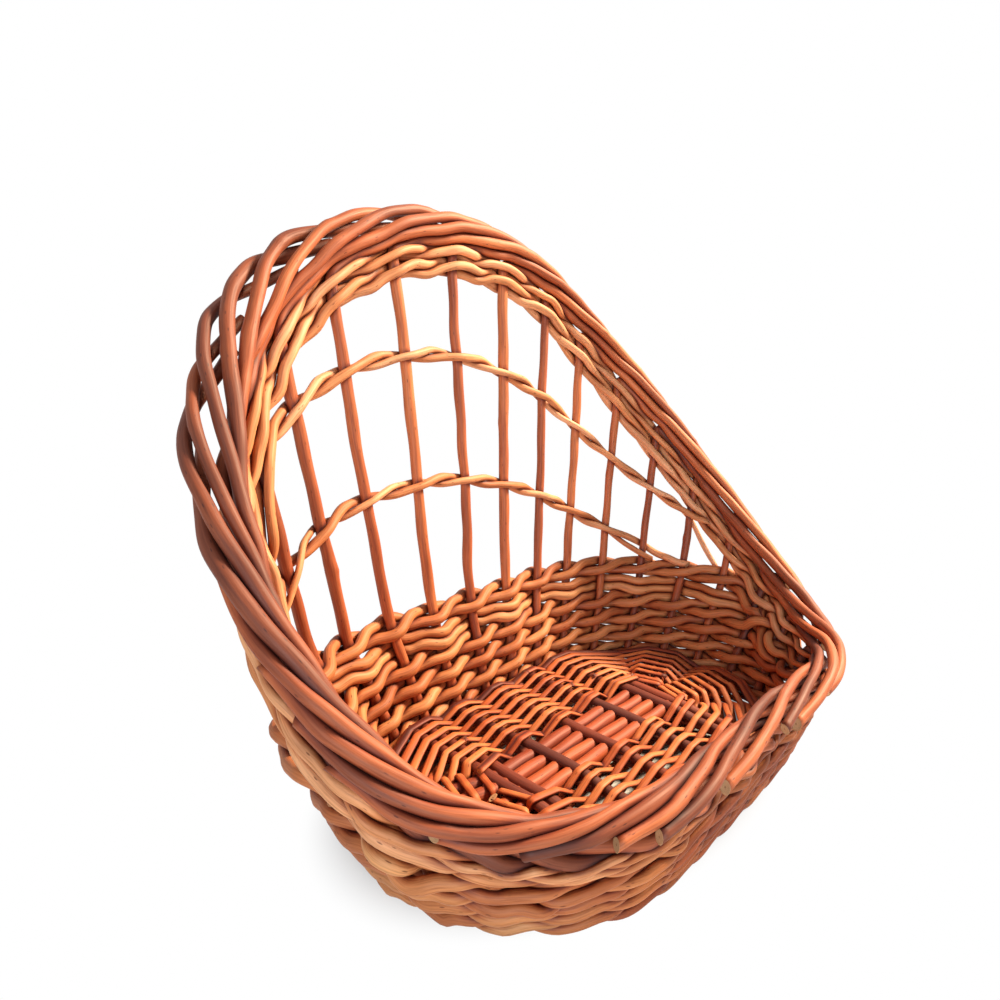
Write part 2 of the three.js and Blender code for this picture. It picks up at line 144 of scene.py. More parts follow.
def new_finish(name):
    """A new finish, with its nodes, their links and its main shader."""
    finish = bpy.data.materials.new(name)
    finish.use_nodes = True
    nodes = finish.node_tree.nodes
    return finish, nodes, finish.node_tree.links, nodes["Principled BSDF"]


def floor_finish():
    finish, nodes, links, shader = new_finish("floor_white")
    shader.inputs["Base Color"].default_value = (FLOOR_WHITE, FLOOR_WHITE, FLOOR_WHITE, 1)
    shader.inputs["Roughness"].default_value = FLOOR_ROUGHNESS
    place = nodes.new("ShaderNodeNewGeometry")
    distance = nodes.new("ShaderNodeVectorMath")
    distance.operation = "LENGTH"
    oval = nodes.new("ShaderNodeVectorMath")
    oval.operation = "MULTIPLY"
    oval.inputs[1].default_value = FLOOR_OVAL
    links.new(place.outputs["Position"], oval.inputs[0])
    links.new(oval.outputs["Vector"], distance.inputs[0])
    far = nodes.new("ShaderNodeMapRange")
    far.interpolation_type = "SMOOTHSTEP"
    far.inputs["From Min"].default_value = FLOOR_NEAR
    far.inputs["From Max"].default_value = FLOOR_FAR
    links.new(distance.outputs["Value"], far.inputs["Value"])
    share = combined(nodes, links, "MULTIPLY", far.outputs["Result"], white_to_camera(nodes, links))
    white = nodes.new("ShaderNodeEmission")
    blend = nodes.new("ShaderNodeMixShader")
    links.new(share, blend.inputs["Fac"])
    links.new(shader.outputs["BSDF"], blend.inputs[1])
    links.new(white.outputs["Emission"], blend.inputs[2])
    links.new(blend.outputs["Shader"], nodes["Material Output"].inputs["Surface"])
    return finish


def make_floor():
    mesh = bpy.data.meshes.new("floor")
    half = FLOOR_SIZE / 2
    corners = [(-half, -half, 0), (half, -half, 0), (half, half, 0), (-half, half, 0)]
    mesh.from_pydata(corners, [], [(0, 1, 2, 3)])
    floor = bpy.data.objects.new("floor", mesh)
    scene.collection.objects.link(floor)
    mesh.materials.append(floor_finish())


scene.world = make_world()
make_floor()
print(f"floor: {FLOOR_SIZE} m wide, matt to {FLOOR_NEAR / MM:.0f} mm from the middle")

# %% [markdown]
# ## Light
# A small warm lamp high on the right throws the cross sticks' shadows to the left, and a broad cool lamp
# low at the front left keeps the outside pale. A sun would do for the first, but a lamp of some size
# softens the edges of the shadows, as a studio lamp does.

# %% Set the lamps
LAMP_AIM = (0, 0, 0.1)
KEY_PLACE, KEY_SIZE, KEY_POWER, KEY_COLOUR = (1.0, -0.43, 1.12), 0.35, 65, (1.0, 0.82, 0.57)
FILL_PLACE, FILL_SIZE, FILL_POWER, FILL_COLOUR = (-1.15, -0.85, 0.36), 0.8, 15, (0.8, 0.93, 1.0)


def area_lamp(name, place, size, power, colour):
    light = bpy.data.lights.new(name, "AREA")
    light.size = size
    light.energy = power
    light.color = colour
    lamp = bpy.data.objects.new(name, light)
    lamp.location = place
    lamp.rotation_euler = (Vector(LAMP_AIM) - Vector(place)).to_track_quat("-Z", "Y").to_euler()
    scene.collection.objects.link(lamp)


area_lamp("key_right", KEY_PLACE, KEY_SIZE, KEY_POWER, KEY_COLOUR)
area_lamp("fill_front_left", FILL_PLACE, FILL_SIZE, FILL_POWER, FILL_COLOUR)

# %% [markdown]
# ## Nodes of a finish
# A finish is a chain of small nodes, which Blender works out at every point of a surface. They could be
# joined by hand in its editor, but then they would have to be joined again for each finish. So each
# helper below adds one node and returns its result. Colours are written as they are seen on a screen, and
# turned into the linear values in which light adds up.

# %% Make helpers for finishes
def srgb(red, green, blue):
    """A colour as it is seen, 0 to 255, in the linear values that shaders use."""
    def linear(value):
        share = value / 255
        return share / 12.92 if share <= 0.04045 else ((share + 0.055) / 1.055) ** 2.4
    return (linear(red), linear(green), linear(blue), 1)


def attribute(nodes, name, output):
    node = nodes.new("ShaderNodeAttribute")
    node.attribute_name = name
    return node.outputs[output]


def stretched(nodes, links, vector, scale):
    node = nodes.new("ShaderNodeMapping")
    node.inputs["Scale"].default_value = scale
    links.new(vector, node.inputs["Vector"])
    return node.outputs["Vector"]


def noise(nodes, links, vector, detail):
    node = nodes.new("ShaderNodeTexNoise")
    node.inputs["Scale"].default_value = 1.0
    node.inputs["Detail"].default_value = detail
    links.new(vector, node.inputs["Vector"])
    return node.outputs["Fac"]


def ramp(nodes, links, value, stops):
    node = nodes.new("ShaderNodeValToRGB")
    for _ in range(len(stops) - 2):
        node.color_ramp.elements.new(0.5)
    for element, (place, colour) in zip(node.color_ramp.elements, stops):
        element.position = place
        element.color = colour
    links.new(value, node.inputs["Fac"])
    return node.outputs["Color"]


def multiplied(nodes, links, first, second):
    node = nodes.new("ShaderNodeMix")
    node.data_type = "RGBA"
    node.blend_type = "MULTIPLY"
    node.inputs["Factor"].default_value = 1.0
    links.new(first, node.inputs["A"])
    links.new(second, node.inputs["B"])
    return node.outputs["Result"]


def grey(level):
    return (level, level, level, 1)


print(f"half grey on a screen is {srgb(128, 128, 128)[0]:.2f} in linear light")

# %% [markdown]
# ## Willow finishes
# Peeled and buffed willow is satin, with fine streaks along the rod, slow changes between reddish and
# pale, and small dark flecks. A picture of bark would need seams, so the colour comes from noise in the
# rod's own space: two coordinates across the rod and one along it, which each mesh carries as a point
# attribute. Stretching the noise along the rod turns it into grain. A second attribute gives each rod a
# tone of its own, and a third holds painted shade, which is dark where rods touch. Each of these
# multiplies the colour by a ramp of tints.

# %% Make the finishes
GRAIN_SCALE = (1.5, 1.5, 0.07)
PATCH_SCALE = (0.1, 0.1, 0.022)
FLECK_SCALE = (0.55, 0.55, 0.13)
GRAIN_DETAIL, PATCH_DETAIL = 4, 2
PATCH_TINTS = [(0.3, (0.78, 0.66, 0.58, 1)), (0.62, (1.1, 1.08, 1.04, 1))]
STREAK_TINTS = [(0.3, (0.7, 0.6, 0.53, 1)), (0.55, grey(1)), (0.8, grey(1.12))]
FLECK_TINTS = [(0.07, (0.36, 0.26, 0.2, 1)), (0.15, grey(1))]
# The last tints are painted shade, nearly black where rods touch.
PAINTED_SHADE_TINTS = [(0.12, grey(1)), (0.5, (0.76, 0.6, 0.48, 1)),
               (0.78, (0.32, 0.14, 0.07, 1)), (1, (0.07, 0.022, 0.009, 1))]
ROUGH_GRAIN, SMOOTH_GRAIN = 0.72, 0.5
BUMP_HEIGHT, BUMP_STRENGTH = 0.00022, 0.5
TONES = {
    "bark_brown": [(118, 56, 32), (168, 86, 50), (194, 106, 63), (214, 126, 76)],
    "orange_tan": [(186, 106, 62), (204, 126, 76), (216, 142, 90), (226, 160, 108)],
    "cream_tan": [(206, 130, 82), (222, 148, 98), (232, 162, 114), (240, 180, 138)],
    "dark_brown": [(96, 34, 16), (112, 42, 20), (126, 50, 26), (140, 60, 34)],
    "red_brown": [(146, 58, 26), (164, 70, 32), (178, 80, 38), (190, 92, 46)],
    "honey": [(196, 98, 50), (208, 110, 58), (216, 122, 68), (224, 136, 80)],
}


def willow(name, tones):
    """Bark whose colour runs through tones, from the darkest rods to the palest."""
    finish, nodes, links, shader = new_finish(name)
    space = attribute(nodes, "rod_space", "Vector")
    grain = noise(nodes, links, stretched(nodes, links, space, GRAIN_SCALE), GRAIN_DETAIL)
    patches = noise(nodes, links, stretched(nodes, links, space, PATCH_SCALE), PATCH_DETAIL)
    flecks = nodes.new("ShaderNodeTexVoronoi")
    flecks.inputs["Scale"].default_value = 1.0
    links.new(stretched(nodes, links, space, FLECK_SCALE), flecks.inputs["Vector"])

    stops = [(index / (len(tones) - 1), srgb(*tone)) for index, tone in enumerate(tones)]
    colour = ramp(nodes, links, attribute(nodes, "rod_tone", "Fac"), stops)
    tinted = ((patches, PATCH_TINTS), (grain, STREAK_TINTS), (flecks.outputs["Distance"], FLECK_TINTS),
              (attribute(nodes, "rod_painted_shade", "Fac"), PAINTED_SHADE_TINTS))
    for value, tints in tinted:
        colour = multiplied(nodes, links, colour, ramp(nodes, links, value, tints))
    links.new(colour, shader.inputs["Base Color"])

    satin = nodes.new("ShaderNodeMapRange")
    satin.inputs["To Min"].default_value = ROUGH_GRAIN
    satin.inputs["To Max"].default_value = SMOOTH_GRAIN
    links.new(grain, satin.inputs["Value"])
    links.new(satin.outputs["Result"], shader.inputs["Roughness"])
    bump = nodes.new("ShaderNodeBump")
    bump.inputs["Distance"].default_value = BUMP_HEIGHT
    bump.inputs["Strength"].default_value = BUMP_STRENGTH
    links.new(grain, bump.inputs["Height"])
    links.new(bump.outputs["Normal"], shader.inputs["Normal"])
    return finish


FINISHES = {name: willow(name, tones) for name, tones in TONES.items()}
print("finishes:", ", ".join(FINISHES))

# %% [markdown]
# ## Cut ends
# Where a rod is cut, its pale wood shows, with a darker pith in the middle and a rim of bark. The rod's
# own space already says how far a point lies from the middle, so a ramp over that distance draws the
# rings. A picture of an end would have to be fitted to each cut.

# %% Make the cut-end finish
RING_SCALE = (0.36, 0.36, 0)
PITH, WOOD, RIM = srgb(168, 116, 80), srgb(206, 156, 114), srgb(176, 118, 80)
RING_TINTS = [(0.1, PITH), (0.2, WOOD), (0.78, WOOD), (0.95, RIM)]
FIBRE_SCALE, FIBRE_DETAIL = (3, 3, 1), 3
FIBRE_TINTS = [(0.3, grey(0.72)), (0.7, grey(1.08))]
CUT_ROUGHNESS = 0.75


def cut_wood():
    finish, nodes, links, shader = new_finish("cut_wood")
    space = attribute(nodes, "rod_space", "Vector")
    flat = stretched(nodes, links, space, RING_SCALE)
    distance = nodes.new("ShaderNodeVectorMath")
    distance.operation = "LENGTH"
    links.new(flat, distance.inputs[0])
    rings = ramp(nodes, links, distance.outputs["Value"], RING_TINTS)
    fibres = noise(nodes, links, stretched(nodes, links, space, FIBRE_SCALE), FIBRE_DETAIL)
    fibre_tint = ramp(nodes, links, fibres, FIBRE_TINTS)
    links.new(multiplied(nodes, links, rings, fibre_tint), shader.inputs["Base Color"])
    shader.inputs["Roughness"].default_value = CUT_ROUGHNESS
    return finish


CUT_WOOD = cut_wood()
print("finish:", CUT_WOOD.name)

# %% [markdown]
# ## The form of the basket
# Every rod of the wall lies on one form, a rounded rectangle that grows from the foot to a knee and then
# more steeply to the rim. A place on it is given by a stake number, counted clockwise from the middle of
# the back, by a height, and by how far it lies outside the stakes. The rim is low in front and rises to
# the back in one half wave. Lengths are millimetres about the middle of the foot, until the meshes are
# made.

# %% Describe the form
FOOT_LENGTH, FOOT_WIDTH = 234.0, 139.0
KNEE_HEIGHT = 57.0
LOW_LEAN_ENDS, LOW_LEAN_SIDES = 0.55, 0.28
HIGH_LEAN_ENDS, HIGH_LEAN_SIDES = 0.22, 0.1
RIM_BACK, RIM_FRONT, RIM_SPAN = 252.0, 49.0, 0.353
STAKE_COUNT = sum(name.startswith("stake_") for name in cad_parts)
FOOT_RADIUS = FOOT_WIDTH / 2
FOOT_STRAIGHT = FOOT_LENGTH / 2 - FOOT_RADIUS
FOOT_PERIMETER = 4 * FOOT_STRAIGHT + 2 * math.pi * FOOT_RADIUS
FOOT_MIDDLE = (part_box("base_long_stick_1")[0][1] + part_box("base_long_stick_4")[1][1]) / 2 / MM


def mix(first, second, share):
    return first + (second - first) * share


def smooth(share):
    """A share from 0 to 1 with a gentle start and end."""
    return share * share * (3 - 2 * share)


def from_back(stake):
    """A stake number counted from the middle of the back to both sides."""
    return stake - STAKE_COUNT * np.round(stake / STAKE_COUNT)


def oval_place(stake):
    """Side of the basket, turn round its end and share of its straight run at a stake."""
    signed = from_back(stake)
    run = np.abs(signed) * FOOT_PERIMETER / STAKE_COUNT
    turn = np.clip((run - FOOT_STRAIGHT) / FOOT_RADIUS, 0, np.pi)
    past = np.maximum(run - FOOT_STRAIGHT - np.pi * FOOT_RADIUS, 0)
    along = np.minimum(run / FOOT_STRAIGHT, 1) - past / FOOT_STRAIGHT
    return np.where(signed < 0, -1.0, 1.0), turn, along


def wall_points(stake, height, outward=0.0):
    """Points on the form, or some way outside it."""
    values = (np.asarray(value, float) for value in (stake, height, outward))
    stake, height, outward = np.broadcast_arrays(*values)
    side, turn, along = oval_place(stake)
    low = np.minimum(height, KNEE_HEIGHT)
    high = np.maximum(height - KNEE_HEIGHT, 0)
    radius = FOOT_RADIUS + LOW_LEAN_SIDES * low + HIGH_LEAN_SIDES * high
    half = FOOT_LENGTH / 2 + LOW_LEAN_ENDS * low + HIGH_LEAN_ENDS * high
    x = side * ((half - radius) * along + (radius + outward) * np.sin(turn))
    return np.stack([x, (radius + outward) * np.cos(turn), height], axis=-1)


def rim_height(stake):
    fall = np.minimum(np.abs(from_back(stake)) / STAKE_COUNT / RIM_SPAN, 1)
    return RIM_FRONT + (RIM_BACK - RIM_FRONT) * (1 + np.cos(np.pi * fall)) / 2


SLOPE_STEP = 0.1


def rim_stretch(stake):
    """How much further apart rods lie upright where the rim falls steeply."""
    before = wall_points(stake - SLOPE_STEP, rim_height(stake - SLOPE_STEP))
    after = wall_points(stake + SLOPE_STEP, rim_height(stake + SLOPE_STEP))
    step = after - before
    return np.hypot(1, step[..., 2] / np.hypot(step[..., 0], step[..., 1]))


def lean_stretch(stake):
    """How much further out a level rod passes because the stakes lean."""
    return np.hypot(1, mix(LOW_LEAN_SIDES, LOW_LEAN_ENDS, np.sin(oval_place(stake)[1])))


print(f"{STAKE_COUNT} stakes, {FOOT_PERIMETER / STAKE_COUNT:.1f} mm apart at the foot")

# %% [markdown]
# ## A rod
# A rod is a route with a thickness. Routes are given by a few points, such as one at each stake, and the
# rod bends between them no tighter than willow does: the points are joined by straight lines, walked in
# small steps, and softened along the walk. A small bend gives the base weavers their sharp corners, and a
# larger one gives the wall rods their slow waves. Each rod wavers a little and changes in thickness, from
# a fixed seed.

# %% Lay rods
ROD_STEP = 2.0
WALK_STEP = 0.5
LEAST_STEPS = 3
BEND, BEND_REACH = 3.2, 3
WAVER, WAVER_LENGTHS = 0.35, (67, 31)
SWELL, SWELL_LENGTHS = 0.03, (83, 29)
SEED = 29
draw = random.Random(SEED)
rods = []


@dataclass
class Rod:
    piece: str
    path: np.ndarray
    radius: np.ndarray
    finish: str
    tone: float
    give: float
    flat: float


def walked(nodes, step):
    """Points in even steps along straight lines between nodes."""
    reach = np.concatenate([[0], np.cumsum(np.linalg.norm(np.diff(nodes, axis=0), axis=1))])
    places = np.linspace(0, reach[-1], max(int(reach[-1] / step), LEAST_STEPS) + 1)
    return np.stack([np.interp(places, reach, nodes[:, axis]) for axis in range(3)], axis=-1)


def softened(nodes, bend, step=ROD_STEP):
    """A route along nodes with its corners rounded, in even steps."""
    fine = walked(np.asarray(nodes, float), WALK_STEP)
    spread = max(int(BEND_REACH * bend / WALK_STEP), 1)
    spread = min(spread, len(fine) - 1)
    weights = np.exp(-0.5 * (np.arange(-spread, spread + 1) * WALK_STEP / bend) ** 2)
    before = 2 * fine[0] - fine[spread:0:-1]
    after = 2 * fine[-1] - fine[-2:-spread - 2:-1]
    padded = np.concatenate([before, fine, after])
    soft = [np.convolve(padded[:, axis], weights / weights.sum(), "valid") for axis in range(3)]
    return walked(np.stack(soft, axis=-1), step)


FRONT_FROM, FRONT_TO = -25.0, -75.0


def front_share(y):
    """0 at the back of the basket and 1 at its front."""
    return smooth(np.clip((FRONT_FROM - y) / (FRONT_FROM - FRONT_TO), 0, 1))


def waves(places, lengths, size):
    """A slow waver: one sine for each wave length, each from a drawn start."""
    return sum(size * np.sin(2 * np.pi * (places / length + draw.random())) for length in lengths)


def lay_rod(piece, nodes, butt, tip, finish, bend=BEND, give=1.0, waver=WAVER, step=ROD_STEP, flat=1.0,
            thin=1.0):
    """Adds a rod from its butt diameter to its tip diameter. give is how easily other rods push it aside,
    flat is its thickness as a share of its width, and thin is the share of its diameter left in front."""
    path = softened(nodes, bend, step)
    along = np.arange(len(path)) * step
    path = path + np.stack([waves(along, WAVER_LENGTHS, waver) for _ in range(3)], axis=-1)
    thick = mix(butt, tip, along / max(along[-1], step)) / 2
    radius = thick * mix(1, thin, front_share(path[:, 1])) * (1 + waves(along, SWELL_LENGTHS, SWELL))
    rods.append(Rod(piece, path, radius, finish, draw.random(), give, flat))


print(f"rods have a point every {ROD_STEP} mm and waver by up to {2 * WAVER} mm")

# %% [markdown]
# ## Stakes and border
# Each stake stands on the foot, leans out with the wall, and at the rim bends over to the right. There it
# runs on as one strand of the border, first inside the rim, then over its top and down outside, round the
# strands of its neighbours. A border made as a ring of its own would be easier to lay, but no strand of
# it would grow out of a stake. At the back a strand goes once round, and its end is tucked under. In
# front it rolls more slowly, is thinner, and ends on the outside, cut across. On the left the border is
# looser, and its outer strands stand away; there shade is painted into their tone.

# %% Lay the stakes
STAKE_DIAMETER = 5.3
STRAND_DIAMETER = 5.6
FRONT_THIN = 0.76
STAKE_RANGE, STRAND_RANGE = (0.93, 1.07), (0.86, 1.14)
STAKE_BEND, STAKE_GIVE, STAKE_WAVER = 5.0, 0.08, 0.15
STAKE_POINTS = 12
SWAY, SWAY_LENGTHS = 0.012, (210, 140)
FRONT_TONE, TOP_TONE = 0.45, 0.55
# The first place is the middle of the painted shade on the left, the second the middle of the paler top.
LEFT_SHADE_PLACE, TOP_PLACE, TONE_SPAN = -5, 1.5, 3
STAKE_FOOT = 3.0
BORDER_RADIUS = 5.2
STRAIGHT_DROP = 1.2 * BORDER_RADIUS
STRAND_START, STRAND_STEP, STRAND_LAST_ROOM = 1, 0.5, 0.3
STRAND_MIDDLE, OUTER_FROM = 3, 2
BORDER_START = math.radians(-50)
BORDER_ROLL = math.radians(64)
FRONT_ROLL = math.radians(37)
ROLL_END = (math.radians(310), math.radians(380))
FRONT_END = (math.radians(265), math.radians(335))
LOOSE_PLACE, LOOSE_REACH, LOOSE_ROOM, LOOSE_SWELL = -4.0, 3.2, 6.0, 0.5
LOOSE_LIFT, LOOSE_SHIFT = 0.7, 3.0
FRONT_SWELL = 0.36
SLACK = (0.94, 1.1)
TUCK_REACH, TUCK_DEPTH = 1.5, 0.4


def border_points(stake, roll, ahead, end, slack):
    """Points of a strand that rolls round the rim, ahead of its stake by some stakes, until its end."""
    place = stake + ahead
    angle = BORDER_START - roll * ahead
    loose = np.exp(-((from_back(place) - LOOSE_PLACE) / LOOSE_REACH) ** 2)
    front = (np.abs(from_back(place)) / (STAKE_COUNT / 2)) ** 3
    tuck = np.clip(1 - (end - ahead) / TUCK_REACH, 0, 1)
    swell = 1 + LOOSE_SWELL * loose + FRONT_SWELL * front
    radius = slack * BORDER_RADIUS * swell * (1 - TUCK_DEPTH * tuck * (1 - front))
    outer = np.clip((ahead - OUTER_FROM) / (end - OUTER_FROM), 0, 1)
    away = loose * (LOOSE_SHIFT + LOOSE_ROOM * np.sin(np.pi * outer) ** 2)
    points = wall_points(place, rim_height(place), radius * np.cos(angle) + away)
    points[..., 2] += radius * np.sin(angle) * rim_stretch(place) + LOOSE_LIFT * away
    return points


def lay_stake(number):
    """A stake and its strand of the border, dark in front, with painted shade on the left, pale on top."""
    stake = number - 1 - (STAKE_COUNT - 1) / 2
    heights = np.linspace(STAKE_FOOT, rim_height(stake) - STRAIGHT_DROP, STAKE_POINTS)
    sway = waves(heights, SWAY_LENGTHS, SWAY)
    standing = wall_points(stake + sway, heights)
    middle = from_back(stake + STRAND_MIDDLE)
    in_front = (abs(middle) / (STAKE_COUNT / 2)) ** 2
    roll = mix(BORDER_ROLL, FRONT_ROLL, in_front)
    end = mix(draw.uniform(*ROLL_END), draw.uniform(*FRONT_END), in_front) / roll
    ahead = np.append(np.arange(STRAND_START, end - STRAND_LAST_ROOM, STRAND_STEP), end)
    strand = border_points(stake, roll, ahead, end, draw.uniform(*SLACK))
    thin = mix(1, FRONT_THIN, in_front)
    butt = thin * STAKE_DIAMETER * draw.uniform(*STAKE_RANGE)
    tip = thin * STRAND_DIAMETER * draw.uniform(*STRAND_RANGE)
    lay_rod(f"stake_{number:02d}", np.concatenate([standing, strand]), butt, tip, "bark_brown",
            bend=STAKE_BEND, give=STAKE_GIVE, waver=STAKE_WAVER)
    # Strands on the left get painted shade in their tone.
    left_shade, on_top = (math.exp(-((middle - place) / TONE_SPAN) ** 2) for place in (LEFT_SHADE_PLACE, TOP_PLACE))
    tone = rods[-1].tone * mix(1, FRONT_TONE, in_front) * (1 - left_shade)
    rods[-1].tone = mix(tone, 1, TOP_TONE * on_top)


for number in range(1, STAKE_COUNT + 1):
    lay_stake(number)
print(f"stakes: {len(rods)} rods")

# %% [markdown]
# ## Three ways to weave
# In a plain row one rod passes inside one stake and outside the next. In a twined course two rods do so
# at once, one inside where the other is outside, and cross between the stakes. In a waled course three
# rods each pass inside one stake and outside the next two, so that their strokes rise to the right like a
# rope. Each way is a function from places on the form to points of a route. Following a stake closely
# would take many points, but one at each stake and one between two are enough, because the rods are
# softened and settle later.

# %% Describe the weaves
STAKE_BITE = 0.65
TWINE_RISE = 0.5
PLAIN_BEAT, WALE_BEAT = 2, 3
WALE_ACROSS = np.array([-1, 0, 1, 1, 1, 0])
WALE_ABOVE = np.array([0, 0.5, 0.52, 0, -0.52, -0.5])
WALL_THIN = 0.7
STEP_ROOM = 0.2


def thinned(stake, thin):
    """Share of a height or a diameter that is left at a stake, where rods are thinner in front."""
    return mix(1, thin, front_share(wall_points(stake, 0)[..., 1]))


def side_at(stake, phase):
    """-1 where a plain rod passes inside a stake, and 1 where it passes outside."""
    return np.where((stake + phase) % PLAIN_BEAT == 0, -1.0, 1.0)


def plain_nodes(places, phase, height_at, diameter):
    nearest = np.round(places)
    across = side_at(nearest, phase) * (1 - 2 * np.abs(places - nearest))
    clear = (STAKE_BITE * STAKE_DIAMETER + diameter) / 2 * lean_stretch(places)
    return wall_points(places, height_at(places), across * clear)


def twined_nodes(places, phase, height_at, diameter):
    left = np.floor(places)
    above = -side_at(left, phase) * (1 - np.abs(2 * (places - left) - 1))
    rise = np.outer(above * TWINE_RISE * diameter, (0, 0, 1))
    return plain_nodes(places, phase, height_at, diameter) + rise


def waled_nodes(places, rod, height_at, diameter):
    beat = (np.round(2 * places).astype(int) + 2 * rod) % len(WALE_ACROSS)
    diameter = diameter * thinned(places, WALL_THIN)
    clear = (STAKE_BITE * STAKE_DIAMETER + diameter) / 2 * lean_stretch(places)
    heights = height_at(places) + diameter * WALE_ABOVE[beat]
    return wall_points(places, heights, WALE_ACROSS[beat] * clear)


def half_steps(first, last):
    """Places of a route from first to last: both ends, and every stake and gap between them."""
    inner = np.arange(math.ceil(2 * first + STEP_ROOM), math.floor(2 * last - STEP_ROOM) + 1) / 2
    return np.concatenate([[first], inner, [last]])


def inside_from(place, phase, beat):
    """The first stake from a place on that a rod passes inside, which it does once in a beat."""
    stake = math.ceil(place)
    return stake + (-stake - phase) % beat


print(f"a plain rod comes inside at every {PLAIN_BEAT}nd stake, a waled one at every {WALE_BEAT}rd")

# %% [markdown]
# ## The low wall
# The low wall has four waled courses, two plain rows and a waled course on top. In front the rods are
# thinner and the rows closer together, and where the rim comes down, the upper rows end under the band. A
# row could be a closed ring, but a real rod has two ends. So every rod starts and ends inside a stake,
# where its cut end is held.

# %% Lay the wall
WALL_DIAMETER = 5.7
ROD_THIN = 0.62
BAND_FLOOR_LEAST, BAND_FLOOR_DROP, BAND_HALF = 7.8, 17.8, 4.7
ROW_ROOM = 5.0
ROW_TUCK, SEAM_ROOM = 0.3, 0.1
SEAM_PLACE = 12
ROW_BEND, ROW_WAVER = 2.6, 0.12
ROW_BUTT, ROW_TIP = (1, 1.1), (0.86, 0.98)
REACH_STEP = 0.25
PLAIN_ROWS = {"wall_row_08": 41.4, "wall_row_09": 46.2}
WALED_COURSES = {("wall_row_01", "wall_row_02", "wall_row_01"): 5.9,
                 ("wall_row_03", "wall_row_04", "wall_row_03"): 15.4,
                 ("wall_row_05", "wall_row_05", "wall_row_05"): 24.8,
                 ("wall_row_06", "wall_row_07", "wall_row_07"): 34.2,
                 ("wall_top_pair_a", "wall_top_pair_b", "wall_top_pair_a"): 54.0}


def under_band(height):
    """Height of a row that is level where it can be, and dips under the band in front."""
    def height_at(stake):
        share = thinned(stake, WALL_THIN)
        drop = mix(BAND_FLOOR_LEAST, BAND_FLOOR_DROP, share) * rim_stretch(stake) + BAND_HALF
        return np.minimum(height * share, rim_height(stake) - drop - share * WALL_DIAMETER / 2)
    return height_at


def row_reach(height):
    """First and last place of a row: all the way round, or as far as it has room over the rows below."""
    places = np.arange(0, STAKE_COUNT / 2, REACH_STEP)
    reach = places[under_band(height)(places) > height * thinned(places, WALL_THIN) - ROW_ROOM][-1]
    if reach + 1 > STAKE_COUNT / 2:
        return SEAM_PLACE, SEAM_PLACE + STAKE_COUNT
    return -reach - 1, reach


def lay_row(piece, route, phase, level):
    """A row's rod starts and ends inside a stake, past it or, if it goes all round, end to end."""
    first, last = row_reach(level)
    beat = WALE_BEAT if route is waled_nodes else PLAIN_BEAT
    room = SEAM_ROOM if last - first == STAKE_COUNT else -ROW_TUCK
    places = half_steps(inside_from(first, phase, beat) + room, inside_from(last, phase, beat) - room)
    nodes = route(places, phase, under_band(level), WALL_DIAMETER)
    butt = WALL_DIAMETER * draw.uniform(*ROW_BUTT)
    tip = WALL_DIAMETER * draw.uniform(*ROW_TIP)
    lay_rod(piece, nodes, butt, tip, "orange_tan", bend=ROW_BEND, waver=ROW_WAVER, thin=ROD_THIN)


for phase, (piece, level) in enumerate(PLAIN_ROWS.items()):
    lay_row(piece, plain_nodes, phase, level)
for pieces, level in WALED_COURSES.items():
    for phase, piece in enumerate(pieces):
        lay_row(piece, waled_nodes, phase, level)
print(f"with the wall: {len(rods)} rods")

# %% [markdown]
# ## The openwork
# Across the tall stakes of the back two courses of two thin rods are twined. Level courses would be
# simpler, but these sag to both sides with the rim, so each follows an arch. Their right ends are not cut
# to one length and hang apart, which is why each of the four rods has numbers of its own.

# %% Lay the openwork
FITCH_DIAMETER = 4.1
OPENWORK_SPAN, OPENWORK_LEFT = 8, -4
OPENWORK_WAVER = 0.2


def openwork_arch(top, fall, shift, left_fall):
    """Height of a course that arches over the openwork and drops more steeply at its left end."""
    def height_at(stake):
        arch = 1 - np.cos(np.pi * (stake + shift) / OPENWORK_SPAN)
        return top - fall * arch - left_fall * np.maximum(OPENWORK_LEFT - stake, 0)
    return height_at


def lay_openwork(piece, phase, height_at, first, last, tail, butt, tip):
    """One of two rods that cross the openwork. tail is how far its end hangs down past the last stake."""
    places = half_steps(first, last)
    nodes = twined_nodes(places, phase, height_at, FITCH_DIAMETER)
    nodes[:, 2] -= tail * np.maximum(places - last + 1, 0)
    lay_rod(piece, nodes, FITCH_DIAMETER * butt, FITCH_DIAMETER * tip, "cream_tan", waver=OPENWORK_WAVER)


lower = openwork_arch(top=125, fall=35, shift=0.8, left_fall=12)
upper = openwork_arch(top=189.5, fall=53, shift=0.6, left_fall=60)
lay_openwork("openwork_lower_a", 0, lower, first=-5.0, last=6.1, tail=0, butt=0.75, tip=1.05)
lay_openwork("openwork_lower_b", 1, lower, first=-4.4, last=5.2, tail=6, butt=1.15, tip=0.9)
lay_openwork("openwork_upper_a", 0, upper, first=-5.1, last=6.4, tail=0, butt=1.1, tip=0.92)
lay_openwork("openwork_upper_b", 1, upper, first=-4.9, last=6.8, tail=28, butt=1.1, tip=0.75)
print(f"with the openwork: {len(rods)} rods")

# %% [markdown]
# ## Waled band
# The band under the border is waled like the courses of the wall, and goes round twice. A moulding swept
# round the rim would be one piece, but it would show no strokes. So three rods follow the rim from the
# front, climb to the second turn just before they would meet their own start, and end where that turn
# closes.

# %% Lay the waled band
WALE_DIAMETER = 4.6
BAND_DROPS = (18.0, 10.5)
BAND_START = 15
BAND_CLIMB = 3
BAND_BUTT, BAND_TIP, BAND_WAVER = (1, 1.12), (0.84, 0.96), 0.2


